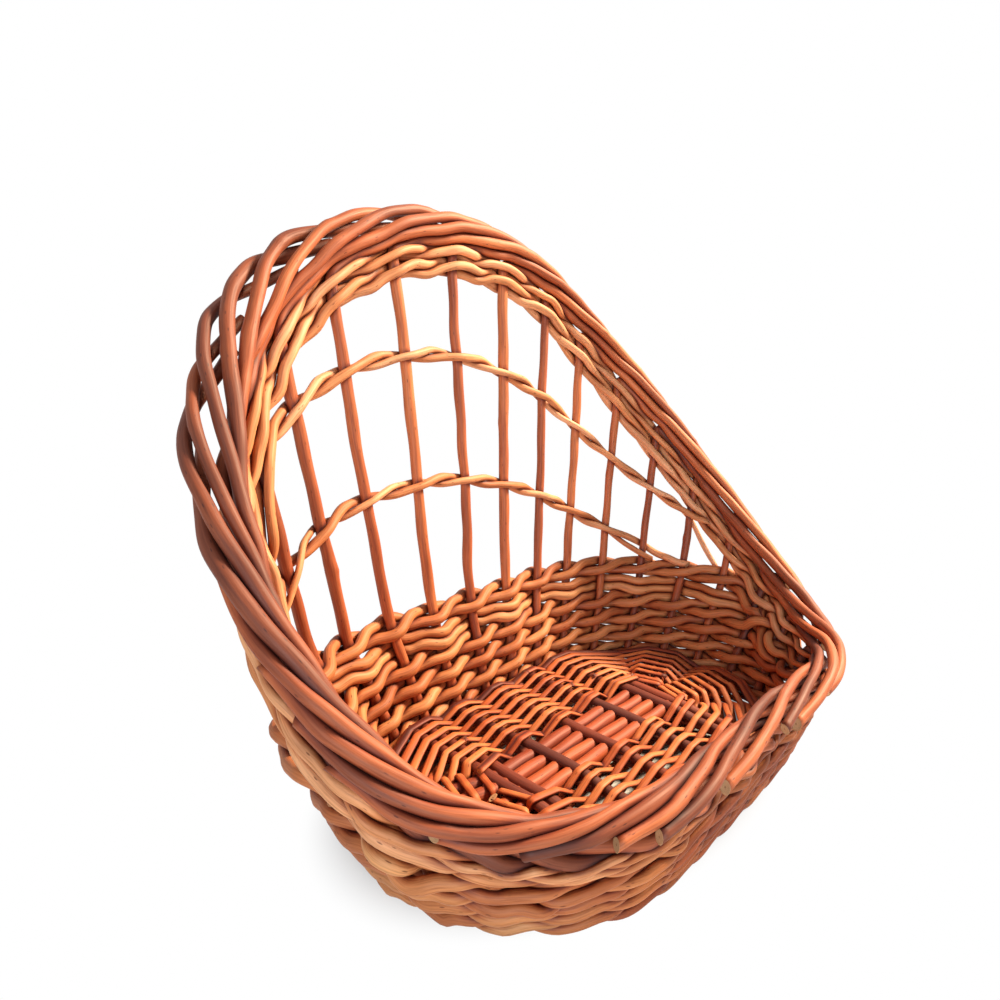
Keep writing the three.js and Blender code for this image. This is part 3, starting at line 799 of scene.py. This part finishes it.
def band_height(places):
    """Height of a rod of the band, which climbs from the lower turn to the upper one."""
    climb = np.clip((places - BAND_START - STAKE_COUNT + BAND_CLIMB) / BAND_CLIMB, 0, 1)
    pitch = (BAND_DROPS[0] - BAND_DROPS[1]) * thinned(places, WALL_THIN)
    return rim_height(places) - (BAND_DROPS[1] + pitch * (1 - climb)) * rim_stretch(places)


def lay_band(rod):
    last = BAND_START + 2 * STAKE_COUNT - BAND_CLIMB - 1
    start, end = (inside_from(place, rod, WALE_BEAT) for place in (BAND_START, last))
    nodes = waled_nodes(half_steps(start - ROW_TUCK, end + ROW_TUCK), rod, band_height, WALE_DIAMETER)
    butt = WALE_DIAMETER * draw.uniform(*BAND_BUTT)
    tip = WALE_DIAMETER * draw.uniform(*BAND_TIP)
    lay_rod(f"rim_wale_{rod + 1}", nodes, butt, tip, "cream_tan", bend=ROW_BEND, waver=BAND_WAVER,
            thin=ROD_THIN)


for rod in range(WALE_BEAT):
    lay_band(rod)
print(f"with the band: {len(rods)} rods")

# %% [markdown]
# ## Where rods overlap
# A rod is known by its points and its radius at each, so two rods overlap where two points are nearer
# than both radii together. Comparing every point with every other is wasteful, so a tree finds the near
# ones. Stakes count as thinner against weavers, because damp willow is pressed flat where it crosses
# them.

# %% Find overlaps
SEARCH_ROOM = 2.5
OWN_ROD_ROOM = 8
LEAST_DISTANCE = 0.01


def near_pairs(points, reach, owner, order):
    """Index pairs of points on different rods, or far apart on one rod, that may come to touch."""
    tree = kdtree.KDTree(len(points))
    for index, point in enumerate(points):
        tree.insert(point, index)
    tree.balance()
    firsts, seconds = [], []
    limit = 2 * reach.max() + SEARCH_ROOM
    for index, point in enumerate(points):
        found = [other for _, other, _ in tree.find_range(point, limit) if other > index]
        firsts.extend([index] * len(found))
        seconds.extend(found)
    firsts, seconds = np.array(firsts), np.array(seconds)
    apart = (owner[firsts] != owner[seconds]) | (np.abs(order[firsts] - order[seconds]) > OWN_ROD_ROOM)
    return firsts[apart], seconds[apart]


def overlaps(points, reach, bite, firsts, seconds):
    """Directions between pairs of points, and how deep the rods overlap there."""
    gap = points[firsts] - points[seconds]
    distance = np.linalg.norm(gap, axis=1)
    alike = bite[firsts] == bite[seconds]
    touch = np.where(alike, reach[firsts] + reach[seconds], (reach * bite)[firsts] + (reach * bite)[seconds])
    return gap / np.maximum(distance, LEAST_DISTANCE)[:, None], touch - distance


def gathered(some_rods):
    """The points of some rods, how many each has, and each point's rod and place in it."""
    counts = [len(rod.path) for rod in some_rods]
    owner = np.repeat(np.arange(len(some_rods)), counts)
    order = np.concatenate([np.arange(count) for count in counts])
    return np.concatenate([rod.path for rod in some_rods]), counts, owner, order


print(f"{len(gathered(rods)[0])} points to compare")

# %% [markdown]
# ## Letting the rods settle
# In a real basket the rods press on each other and none passes through another. Working that out for
# every crossing by hand is hopeless, so the routes start roughly right and then settle: where two rods
# overlap, both are pushed apart, stakes less than weavers, and each push is shared with the neighbouring
# points of the same rod, so that rods bend instead of denting. After some rounds the rods lie against
# each other. The base is laid later, because its crossings are worked out exactly.

# %% Settle the rods
SETTLE_ROUNDS = 90
SEARCH_EVERY = 10
PUSH = 0.45
SPREAD_PASSES = 8
OWN_SHARE, NEIGHBOUR_SHARE = 0.5, 0.25
FLOOR_ROOM = 0.3
DEEP = 0.5


def spread_along(push, joined):
    """Shares each point's push with its two neighbours on the rod."""
    for _ in range(SPREAD_PASSES):
        before = np.where(joined[:, None], np.roll(push, 1, axis=0), push)
        after = np.where(np.roll(joined, -1)[:, None], np.roll(push, -1, axis=0), push)
        push = NEIGHBOUR_SHARE * before + OWN_SHARE * push + NEIGHBOUR_SHARE * after
    return push


def settle(moving):
    points, counts, owner, order = gathered(moving)
    reach = np.concatenate([rod.radius for rod in moving])
    give = np.repeat([rod.give for rod in moving], counts)
    bite = np.where(give < 1, STAKE_BITE, 1)
    joined = order > 0
    for turn in range(SETTLE_ROUNDS):
        if turn % SEARCH_EVERY == 0:
            firsts, seconds = near_pairs(points, reach, owner, order)
        direction, depth = overlaps(points, reach, bite, firsts, seconds)
        touching = depth > 0
        one, two = firsts[touching], seconds[touching]
        push = direction[touching] * depth[touching, None] * PUSH
        share = (give[one] / (give[one] + give[two]))[:, None]
        moved = np.zeros_like(points)
        count = np.zeros(len(points))
        for index, part in ((one, push * share * 2), (two, -push * (1 - share) * 2)):
            np.add.at(moved, index, part)
            np.add.at(count, index, 1)
        moved /= np.maximum(count, 1)[:, None]
        points = points + spread_along(moved, joined)
        points[:, 2] = np.maximum(points[:, 2], reach + FLOOR_ROOM)
    depth = overlaps(points, reach, bite, *near_pairs(points, reach, owner, order))[1]
    for rod, part in zip(moving, np.split(points, np.cumsum(counts)[:-1])):
        rod.path = part
    return depth


left_over = settle(rods)
deep_count = int((left_over > DEEP).sum())
print(f"settled: deepest overlap {left_over.max():.2f} mm, {deep_count} pairs over {DEEP} mm")

# %% [markdown]
# ## The plan of the base
# The base starts from seven cross sticks, split in the middle, with four long sticks threaded through the
# splits. Past the outer pairs of cross sticks the long sticks fan out to the ends. The rows of weaving
# start as a slim rectangle beside the splits and end as the oval of the foot. Drawing each row by hand
# would take many points, so a row is a corner radius and two straight lengths, and a weaver works out
# where it crosses each stick.

# %% Measure the base
CROSS_PITCH, CROSS_REACH = 28.0, 2
CROSS_WIDTH, CROSS_THICKNESS = 6.4, 6.0
LONG_WIDTH, LONG_THICKNESS, LONG_SPACE = 7.0, 4.8, 0.4
LONG_COUNT = 4
WEAVER_WIDTH, WEAVER_THICKNESS = 3.8, 1.9
SHOULDER = 16.0
STRAP = 2.3
FAN_INNER, FAN_OUTER = 0.3, 0.36
STICK_RISE, HUB_ROOM, PAIR_ROOM, END_ROOM = 2.3, 1, 0.1, 3
CROSSING_PASSES = 6
STICK_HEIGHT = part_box("base_long_stick_1")[0][2] / MM + STICK_RISE
LONG_PITCH = LONG_WIDTH + LONG_SPACE
HUB_HALF = LONG_COUNT * LONG_PITCH / 2 + HUB_ROOM
PAIR_OFFSET = CROSS_WIDTH / 2 + PAIR_ROOM
PAIR_EDGE = CROSS_REACH * CROSS_PITCH + PAIR_OFFSET + CROSS_WIDTH / 2
BASE_HALF_WIDTH, BASE_HALF_LENGTH = 64.0, 112.5
INNER_END = PAIR_EDGE + END_ROOM
INNER_ROUNDING = 10.0


def long_lane(stick):
    """Place of a long stick across the middle of the base."""
    return (stick - (LONG_COUNT - 1) / 2) * LONG_PITCH


def fan_y(lane, x):
    """Place of a long stick across the base at a distance along it."""
    slope = FAN_INNER if abs(lane) < LONG_PITCH else FAN_OUTER
    return lane + math.copysign(slope, lane) * max(x - PAIR_EDGE, 0)


def split_share(y):
    """0 where a cross stick is whole, 1 where its halves part round the long sticks."""
    return smooth(np.clip((HUB_HALF + SHOULDER - np.abs(y)) / SHOULDER, 0, 1))


def stick_top(y):
    """Height of a cross stick's upper side over its middle."""
    split = split_share(y)
    return LONG_THICKNESS / 2 * split + mix(CROSS_THICKNESS / 2, STRAP, split)


def base_row(share):
    """Corner radius and half the straight length and width of a base row, 0 inside to 1 outside."""
    corner = mix(INNER_ROUNDING, BASE_HALF_WIDTH, share)
    half_width = mix(HUB_HALF + HUB_ROOM, BASE_HALF_WIDTH, share)
    half_length = mix(INNER_END, BASE_HALF_LENGTH, share)
    return corner, half_length - corner, half_width - corner


def rounded(corner, over):
    """How far a corner still reaches out, some way past its straight side."""
    return math.sqrt(max(corner ** 2 - max(over, 0) ** 2, 0))


def row_width(row, x):
    """Half the width of a base row at a distance along it."""
    return row[2] + rounded(row[0], abs(x) - row[1])


def row_length(row, y):
    """Half the length of a base row at a distance across it."""
    return row[1] + rounded(row[0], abs(y) - row[2])


def fan_crossing(row, lane):
    """Place across the base where a base row meets a long stick, found step by step."""
    x = row_length(row, lane)
    for _ in range(CROSSING_PASSES):
        x = row_length(row, fan_y(lane, x))
    return fan_y(lane, x)


print(f"base: {2 * BASE_HALF_LENGTH:.0f} by {2 * BASE_HALF_WIDTH:.0f} mm, sticks {STICK_HEIGHT:.1f} mm up")

# %% [markdown]
# ## Stations of a base weaver
# Two thin weavers start beside the splits and spiral out together over the cross sticks and the fanned
# long sticks, one over each stick where the other goes under. A spiral with a wave on it would cross the
# sticks at the wrong places, so a turn is a list of stations, one for each stick or pair of sticks, with
# a point at each edge of it.

# %% List the stations
LONG_SWING = (LONG_WIDTH + WEAVER_THICKNESS) / 2
KINK_ROOM = WEAVER_THICKNESS / 4


def base_stations():
    """Sticks that a weaver crosses on one turn, clockwise from the back left: kind, side, and both edges."""
    edge = CROSS_WIDTH / 2 + KINK_ROOM
    back = []
    for step in range(-CROSS_REACH, CROSS_REACH + 1):
        half = edge + PAIR_OFFSET if abs(step) == CROSS_REACH else edge
        back.append(("cross", 1, step * CROSS_PITCH - half, step * CROSS_PITCH + half))
    front = [("cross", -1, last, first) for _, _, first, last in reversed(back)]
    outer, inner = long_lane(LONG_COUNT - 1), long_lane(LONG_COUNT - 2)
    right = [("long", 1, outer, inner), ("long", 1, -inner, -outer)]
    left = [("long", -1, -outer, -inner), ("long", -1, inner, outer)]
    return back + right + front + left


def station_points(row, station, over):
    """Two points where a weaver passes over or under a station's sticks."""
    kind, side, first, last = station
    if kind == "cross":
        ends = [(x, row_width(row, x)) for x in (first, last)]
        return [(x, side * y, STICK_HEIGHT + over * (stick_top(y) + WEAVER_THICKNESS / 2)) for x, y in ends]
    edge = math.copysign(LONG_WIDTH / 2 + KINK_ROOM, first - last)
    ends = (fan_crossing(row, first) + edge, fan_crossing(row, last) - edge)
    return [(side * row_length(row, y), y, STICK_HEIGHT + over * LONG_SWING) for y in ends]


def corner_point(row, before, after):
    """A point on the rounded corner between cross sticks and long sticks."""
    reach = row[0] * math.sqrt(0.5)
    side_x = after[1] if before[0] == "cross" else before[1]
    side_y = before[1] if before[0] == "cross" else after[1]
    return side_x * (row[1] + reach), side_y * (row[2] + reach), STICK_HEIGHT


print(f"a weaver crosses {len(base_stations())} sticks or pairs on each turn")

# %% [markdown]
# ## Base weavers
# The weavers are split willow, which kinks at the edges of a stick instead of curving, so their routes
# are softened very little. A real weaver soon runs out, and the next one is laid in. So each route is cut
# into strips of different lengths, with tones of their own.

# %% Lay the base weavers
BASE_ROWS = 15
TIGHT_TURNS, TIGHT_OFFSET = 0.9, 0.45
WEAVER_NODES = (17, 44)
STRIP_BUTT, STRIP_TIP = (0.96, 1.1), (0.86, 1)
STRIP_BEND, STRIP_WAVER, STRIP_STEP = 0.6, 0.1, 1.0


def base_row_number(turns, start_row):
    """Row that a weaver has reached: its first turn stays by the splits, the others move out two rows."""
    free = max(turns - TIGHT_TURNS, 0)
    return 2 * free + start_row * mix(TIGHT_OFFSET, 1, min(free, 1))


def base_weaver_nodes(start_row):
    """All points of one weaver, from the splits to the foot."""
    stations = base_stations()
    steps = math.ceil(len(stations) * (BASE_ROWS / 2 + 1 + TIGHT_TURNS))
    nodes = []
    for step in range(steps):
        station = stations[step % len(stations)]
        following = stations[(step + 1) % len(stations)]
        row = base_row(min(base_row_number(step / len(stations), start_row) / (BASE_ROWS - 1), 1))
        over = 1 if (step + start_row) % 2 == 0 else -1
        nodes.extend(station_points(row, station, over))
        if station[0] != following[0] and step + 1 < steps:
            nodes.append(corner_point(row, station, following))
    return nodes


def lay_base_weaver(piece, start_row):
    """One weaver is several strips, each starting where the last one ran out."""
    nodes = base_weaver_nodes(start_row)
    start = 0
    while start < len(nodes) - 2:
        end = start + draw.randint(*WEAVER_NODES)
        if end > len(nodes) - WEAVER_NODES[0]:
            end = len(nodes)
        lay_rod(piece, nodes[start:end + 1], WEAVER_WIDTH * draw.uniform(*STRIP_BUTT),
                WEAVER_WIDTH * draw.uniform(*STRIP_TIP), "honey", bend=STRIP_BEND, waver=STRIP_WAVER,
                step=STRIP_STEP, flat=WEAVER_THICKNESS / WEAVER_WIDTH)
        start = end


wall_rod_count = len(rods)
for start_row, piece in enumerate(["base_weaver_a", "base_weaver_b"]):
    lay_base_weaver(piece, start_row)
print(f"base weavers: {len(rods) - wall_rod_count} strips")

# %% [markdown]
# ## Long sticks
# The four long sticks lie side by side through the splits and fan out at both ends, where the weavers
# cross them. They are rods like the others, with a slow bend where the fan starts, so they need only four
# points each.

# %% Lay the long sticks
LONG_TAPER, LONG_BEND, LONG_WAVER = 0.96, 5.0, 0.2


def long_stick_nodes(stick):
    lane = long_lane(stick)
    end_y = fan_crossing(base_row(1), lane)
    end_x = row_length(base_row(1), end_y)
    places = [(-end_x, end_y), (-PAIR_EDGE, lane), (PAIR_EDGE, lane), (end_x, end_y)]
    return [(x, y, STICK_HEIGHT) for x, y in places]


for stick in range(LONG_COUNT):
    lay_rod(f"base_long_stick_{stick + 1}", long_stick_nodes(stick), LONG_WIDTH, LONG_WIDTH * LONG_TAPER,
            "red_brown", bend=LONG_BEND, waver=LONG_WAVER)
print(f"long sticks: {LONG_COUNT}")

# %% [markdown]
# ## Rings along a route
# A rod becomes a tube of rings, and each ring needs a frame. Blender can bevel a curve into a tube, but
# then knots and grain would not follow the rod. So the first frame is carried along, turned only as much
# as the route turns, which keeps the grain from twisting, and a flat strip keeps its frame level. Each
# ring is a little out of round, with knots where side shoots were cut off.

# %% Make rings along a route
SIDES = 12
KNOT_SPACING = 85.0
KNOT_HEIGHT = (0.05, 0.16)
KNOT_LENGTH = 2.4
KNOT_ROUND = 0.3
OVAL = (0.01, 0.05)
STEEP = 0.9


def unit(vectors):
    return vectors / np.linalg.norm(vectors, axis=-1, keepdims=True)


def level_frames(path):
    """Unit tangents and two unit directions across the route, one level and one pointing down."""
    tangents = unit(np.gradient(path, axis=0))
    across = unit(np.cross(tangents, (0, 0, 1)))
    return tangents, across, np.cross(tangents, across)


def carried_frames(path):
    """Unit tangents and two unit directions across the route, carried along without twist."""
    tangents = unit(np.gradient(path, axis=0))
    across = np.zeros_like(tangents)
    start = np.cross(tangents[0], (0, 0, 1) if abs(tangents[0][2]) < STEEP else (0, 1, 0))
    across[0] = start / np.linalg.norm(start)
    for index in range(1, len(path)):
        carried = across[index - 1] - tangents[index] * np.dot(across[index - 1], tangents[index])
        across[index] = carried / np.linalg.norm(carried)
    return tangents, across, np.cross(tangents, across)


def ring_radii(rod, along, angles):
    """Radius of every ring at every angle: out of round, with knots."""
    oval = 1 + draw.uniform(*OVAL) * np.cos(2 * (angles + draw.uniform(0, np.pi)))
    radii = rod.radius[:, None] * oval[None, :]
    for _ in range(round(along[-1] / KNOT_SPACING)):
        place, angle = draw.uniform(0, along[-1]), draw.uniform(0, 2 * np.pi)
        lump = np.exp(-((along - place) / KNOT_LENGTH) ** 2)[:, None]
        facing = np.maximum(np.cos(angles - angle), 0)[None, :] ** 3
        radii = radii * (1 + draw.uniform(*KNOT_HEIGHT) * lump * (KNOT_ROUND + facing))
    return radii


print(f"each rod has {SIDES} sides and a ring every {ROD_STEP:.1f} mm")

# %% [markdown]
# ## Closing a tube
# A rod is cut with a knife, on a slant and with a slightly worn edge. Filling the last ring with one face
# would be enough, but it would be square and sharp. So the last ring is slanted, a smaller ring makes a
# bevel, and a fan of triangles closes it. The faces of the cut come last, so that they can get the finish
# of cut wood. The rod's own space, its tone and its painted shade go along with the points.

# %% Close a tube
CUT_SLANT, CUT_INNER, CUT_RISE = (0.4, 1.1), 0.86, 0.1


@dataclass
class Tube:
    points: np.ndarray
    faces: list
    cut_from: int
    space: np.ndarray
    tone: np.ndarray
    painted_shade: np.ndarray


def closed_tube(rings, tangents, space, tone, painted_shade):
    """A tube of rings whose two ends are cut on a slant and closed by a bevel and a fan."""
    count, sides = rings.shape[:2]
    middles = rings.mean(axis=1)
    ends = []
    for end, sign in ((0, -1), (-1, 1)):
        lean = rings[end] - middles[end]
        lean = lean @ (lean[draw.randrange(sides)] / np.linalg.norm(lean[0]))
        shift = draw.uniform(*CUT_SLANT) * (lean - lean.min())
        rings[end] += sign * tangents[end] * shift[:, None]
        inner = middles[end] + CUT_INNER * (rings[end] - middles[end]) + sign * tangents[end] * CUT_RISE
        ends.append((inner, inner.mean(axis=0)))
    end_points = [np.concatenate([inner, middle[None]]) for inner, middle in ends]
    points = np.concatenate([rings.reshape(-1, 3), *end_points])
    end_space = [np.concatenate([space[end], space[end].mean(axis=0)[None]]) for end in (0, -1)]
    space = np.concatenate([space.reshape(-1, 3), *end_space])
    tone = np.concatenate([np.repeat(tone, sides), np.full(2 * sides + 2, tone.mean())])
    painted_shade = np.concatenate([painted_shade.ravel(), np.zeros(2 * sides + 2)])
    side_faces = []
    for ring in range(count - 1):
        for side in range(sides):
            near, far = ring * sides, (ring + 1) * sides
            after = (side + 1) % sides
            side_faces.append((near + side, near + after, far + after, far + side))
    cap_faces = []
    for cap, ring, turned in ((count * sides, 0, True), (count * sides + sides + 1, count - 1, False)):
        for side in range(sides):
            after = (side + 1) % sides
            outer = (ring * sides + side, ring * sides + after, cap + after, cap + side)
            fan = (cap + side, cap + after, cap + sides)
            cap_faces.extend([outer[::-1], fan[::-1]] if turned else [outer, fan])
    return Tube(points, side_faces + cap_faces, len(side_faces), space, tone, painted_shade)


print(f"a cut end has {2 * SIDES} faces")

# %% [markdown]
# ## Painted shade
# Shade is painted into the colour where rods touch, at the edges and undersides of the strips in the
# base too, and on the outside of the wall, apart from its left end. Blender can darken crevices in a
# shader, but then the mesh would not carry the painted shade. The routes already say how near the next rod
# is, so the painted shade is worked out once for each point. The last helper puts rings, space, tone and
# painted shade together into the mesh of a rod.

# %% Paint shade on the rods
# Painted shade where rods touch fades out over this distance in mm.
CONTACT_SHADE_REACH = 3.0
# Flat strips get this much painted shade on their edges and undersides.
EDGE_SHADE = 0.9
# Rods of these finishes get painted shade where they face outwards, growing from the left end to the right.
OUTSIDE_SHADED_FINISHES = ("orange_tan", "cream_tan")
OUTSIDE_SHADE, OUTSIDE_SHADE_TURN = 0.68, 2
OUTSIDE_SHADE_FROM, OUTSIDE_SHADE_TO = -120.0, -50.0
TONE_WAVER, TONE_LENGTHS = 0.08, (140, 60)
SPACE_ROOM = 20000.0


def neighbours(all_rods):
    """For each rod, pairs of its own points and nearby points of other rods."""
    points, _, owner, order = gathered(all_rods)
    reach = np.concatenate([rod.radius * rod.flat for rod in all_rods])
    one, two = near_pairs(points, reach, owner, order)
    own, other = np.concatenate([one, two]), np.concatenate([two, one])
    near = []
    for index in range(len(all_rods)):
        mine = owner[own] == index
        near.append((order[own[mine]], points[other[mine]], reach[other[mine]]))
    return near


def contact_shade_at(rings, near):
    """Painted shade: 1 where a ring touches another rod, falling to 0 a little further away."""
    own, points, reach = near
    gap = np.full(rings.shape[:2], CONTACT_SHADE_REACH)
    np.minimum.at(gap, own, np.linalg.norm(rings[own] - points[:, None], axis=-1) - reach[:, None])
    return np.clip(1 - gap / CONTACT_SHADE_REACH, 0, 1)


def outside_shade_at(rings, path):
    """Painted shade on bark that faces outwards, everywhere but at the left end."""
    out = unit(path * (FOOT_WIDTH / FOOT_LENGTH, 1, 0))
    facing = np.einsum("rsk,rk->rs", unit(rings - path[:, None]), out)
    right = np.clip((path[:, 0] - OUTSIDE_SHADE_FROM) / (OUTSIDE_SHADE_TO - OUTSIDE_SHADE_FROM), 0, 1)
    return OUTSIDE_SHADE * np.clip(OUTSIDE_SHADE_TURN * facing, 0, 1) * right[:, None]


def rod_tube(rod, near):
    """A rod's mesh, with a stretch of rod space that no other rod shares."""
    steps = np.linalg.norm(np.diff(rod.path, axis=0), axis=1)
    along = np.concatenate([[0], np.cumsum(steps)])
    tangents, across, over = carried_frames(rod.path) if rod.flat == 1 else level_frames(rod.path)
    angles = np.arange(SIDES) * 2 * np.pi / SIDES
    radii = ring_radii(rod, along, angles)
    flat = np.stack([radii * np.cos(angles), rod.flat * radii * np.sin(angles)], axis=-1)
    rings = rod.path[:, None] + flat[..., :1] * across[:, None] + flat[..., 1:] * over[:, None]
    depth = np.repeat(along[:, None], SIDES, axis=1)[..., None] + draw.uniform(0, SPACE_ROOM)
    space = np.concatenate([flat, depth], axis=-1)
    tone = np.clip(rod.tone + waves(along, TONE_LENGTHS, TONE_WAVER), 0, 1)
    painted_shade = contact_shade_at(rings, near)
    # Wall, band and openwork rods also get painted shade where they face outwards.
    if rod.finish in OUTSIDE_SHADED_FINISHES:
        painted_shade = np.maximum(painted_shade, outside_shade_at(rings, rod.path))
    # Painted shade on the edges and undersides of flat strips, none on top.
    if rod.flat < 1:
        painted_shade = np.maximum(painted_shade, EDGE_SHADE * (1 - np.maximum(-np.sin(angles), 0)))
    return closed_tube(rings, tangents, space, tone, painted_shade)


nearby = neighbours(rods)
print(f"{sum(len(own) for own, _, _ in nearby) // 2} pairs of points lie near each other")

# %% [markdown]
# ## One piece for each name in the frame
# The frame keeps every rod or row under a name of its own, so the meshes are made the same way: all rods
# of one name become one object, which stands for that node, rides on the basket's only body and takes the
# finish of its rods. One object for the whole basket would be quicker, but nothing could be
# told apart.

# %% Build the pieces
def join_tubes(tubes):
    """The points, faces and attributes of several tubes as one mesh."""
    points = np.concatenate([tube.points for tube in tubes])
    space = np.concatenate([tube.space for tube in tubes])
    tone = np.concatenate([tube.tone for tube in tubes])
    painted_shade = np.concatenate([tube.painted_shade for tube in tubes])
    faces, kinds, start = [], [], 0
    for tube in tubes:
        faces.extend(tuple(index + start for index in face) for face in tube.faces)
        kinds.extend([0] * tube.cut_from + [1] * (len(tube.faces) - tube.cut_from))
        start += len(tube.points)
    return points, faces, kinds, space, tone, painted_shade


def make_piece(name, tubes, finish):
    """An object for one node of the frame, in its finish."""
    points, faces, kinds, space, tone, painted_shade = join_tubes(tubes)
    mesh = bpy.data.meshes.new(name)
    points[:, 2] = np.maximum(points[:, 2], 0)
    placed = (points + np.array([0, FOOT_MIDDLE, 0])) * MM
    mesh.from_pydata(placed.tolist(), [], faces)
    mesh.attributes.new("rod_space", "FLOAT_VECTOR", "POINT").data.foreach_set("vector", space.ravel())
    mesh.attributes.new("rod_tone", "FLOAT", "POINT").data.foreach_set("value", tone)
    # The painted shade goes along as a point attribute.
    mesh.attributes.new("rod_painted_shade", "FLOAT", "POINT").data.foreach_set("value", painted_shade)
    mesh.materials.append(FINISHES[finish])
    mesh.materials.append(CUT_WOOD)
    mesh.polygons.foreach_set("material_index", kinds)
    mesh.polygons.foreach_set("use_smooth", [True] * len(faces))
    mesh.update()
    piece = bpy.data.objects.new(f"{name}_rods", mesh)
    scene.collection.objects.link(piece)
    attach(piece, "root")
    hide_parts(name)
    return piece


by_name = {}
for rod, near in zip(rods, nearby):
    by_name.setdefault(rod.piece, []).append((rod, near))
face_count = 0
for name, members in by_name.items():
    piece = make_piece(name, [rod_tube(rod, near) for rod, near in members], members[0][0].finish)
    face_count += len(piece.data.polygons)
print(f"pieces: {len(by_name)}, faces: {face_count}")

# %% [markdown]
# ## Cross sticks
# A split stick is two half-round rods, flat inside and round outside. They lie together at both ends and
# part in the middle, where the long sticks pass between them. A tube round a route can't be flat on one
# side, so each half is swept here from half a circle, and its length and place come from its node.

# %% Build the cross sticks
HALF_SIDES = 14
CROSS_COUNT = sum(name.startswith("base_cross_stick_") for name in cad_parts)
SPLIT_ROOM = 0.05
DRIFT, DRIFT_LENGTHS = 0.25, (97, 43)
HALF_SWELL, HALF_SWELL_LENGTHS = 0.025, (61, 23)
HALF_TONE_WAVER = 0.1


def half_stick(x, upper, front, back):
    """One half of a split stick: flat inside, round outside, parting round the long sticks."""
    y = np.arange(front, back, ROD_STEP)
    split = split_share(y)
    part = LONG_THICKNESS / 2 * split
    half_thick = mix(CROSS_THICKNESS / 2, STRAP, split)
    drift = waves(y, DRIFT_LENGTHS, DRIFT)
    angles = np.linspace(0, np.pi, HALF_SIDES)
    width = CROSS_WIDTH / 2 * (1 + waves(y, HALF_SWELL_LENGTHS, HALF_SWELL))
    flat_x = width[:, None] * np.cos(angles)[None, :]
    flat_z = SPLIT_ROOM + half_thick[:, None] * np.sin(angles)[None, :]
    rings = np.stack([x + drift[:, None] + flat_x, np.repeat(y[:, None], HALF_SIDES, axis=1),
                      STICK_HEIGHT + upper * (part[:, None] + flat_z)], axis=-1)
    if upper < 0:
        rings = rings[:, ::-1]
    tangents = np.repeat([[0.0, 1.0, 0.0]], len(y), axis=0)
    depth = np.repeat(y[:, None], HALF_SIDES, axis=1) + draw.uniform(0, SPACE_ROOM)
    space = np.stack([flat_x, flat_z, depth], axis=-1)
    tone = np.clip(draw.random() + waves(y, TONE_LENGTHS, HALF_TONE_WAVER), 0, 1)
    return closed_tube(rings, tangents, space, tone, np.zeros(rings.shape[:2]))


for number in range(1, CROSS_COUNT + 1):
    name = f"base_cross_stick_{number}"
    low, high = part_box(name)
    front, back = low[1] / MM - FOOT_MIDDLE, high[1] / MM - FOOT_MIDDLE
    x = (low[0] + high[0]) / 2 / MM
    make_piece(name, [half_stick(x, upper, front, back) for upper in (1, -1)], "dark_brown")
print(f"cross sticks: {CROSS_COUNT}")
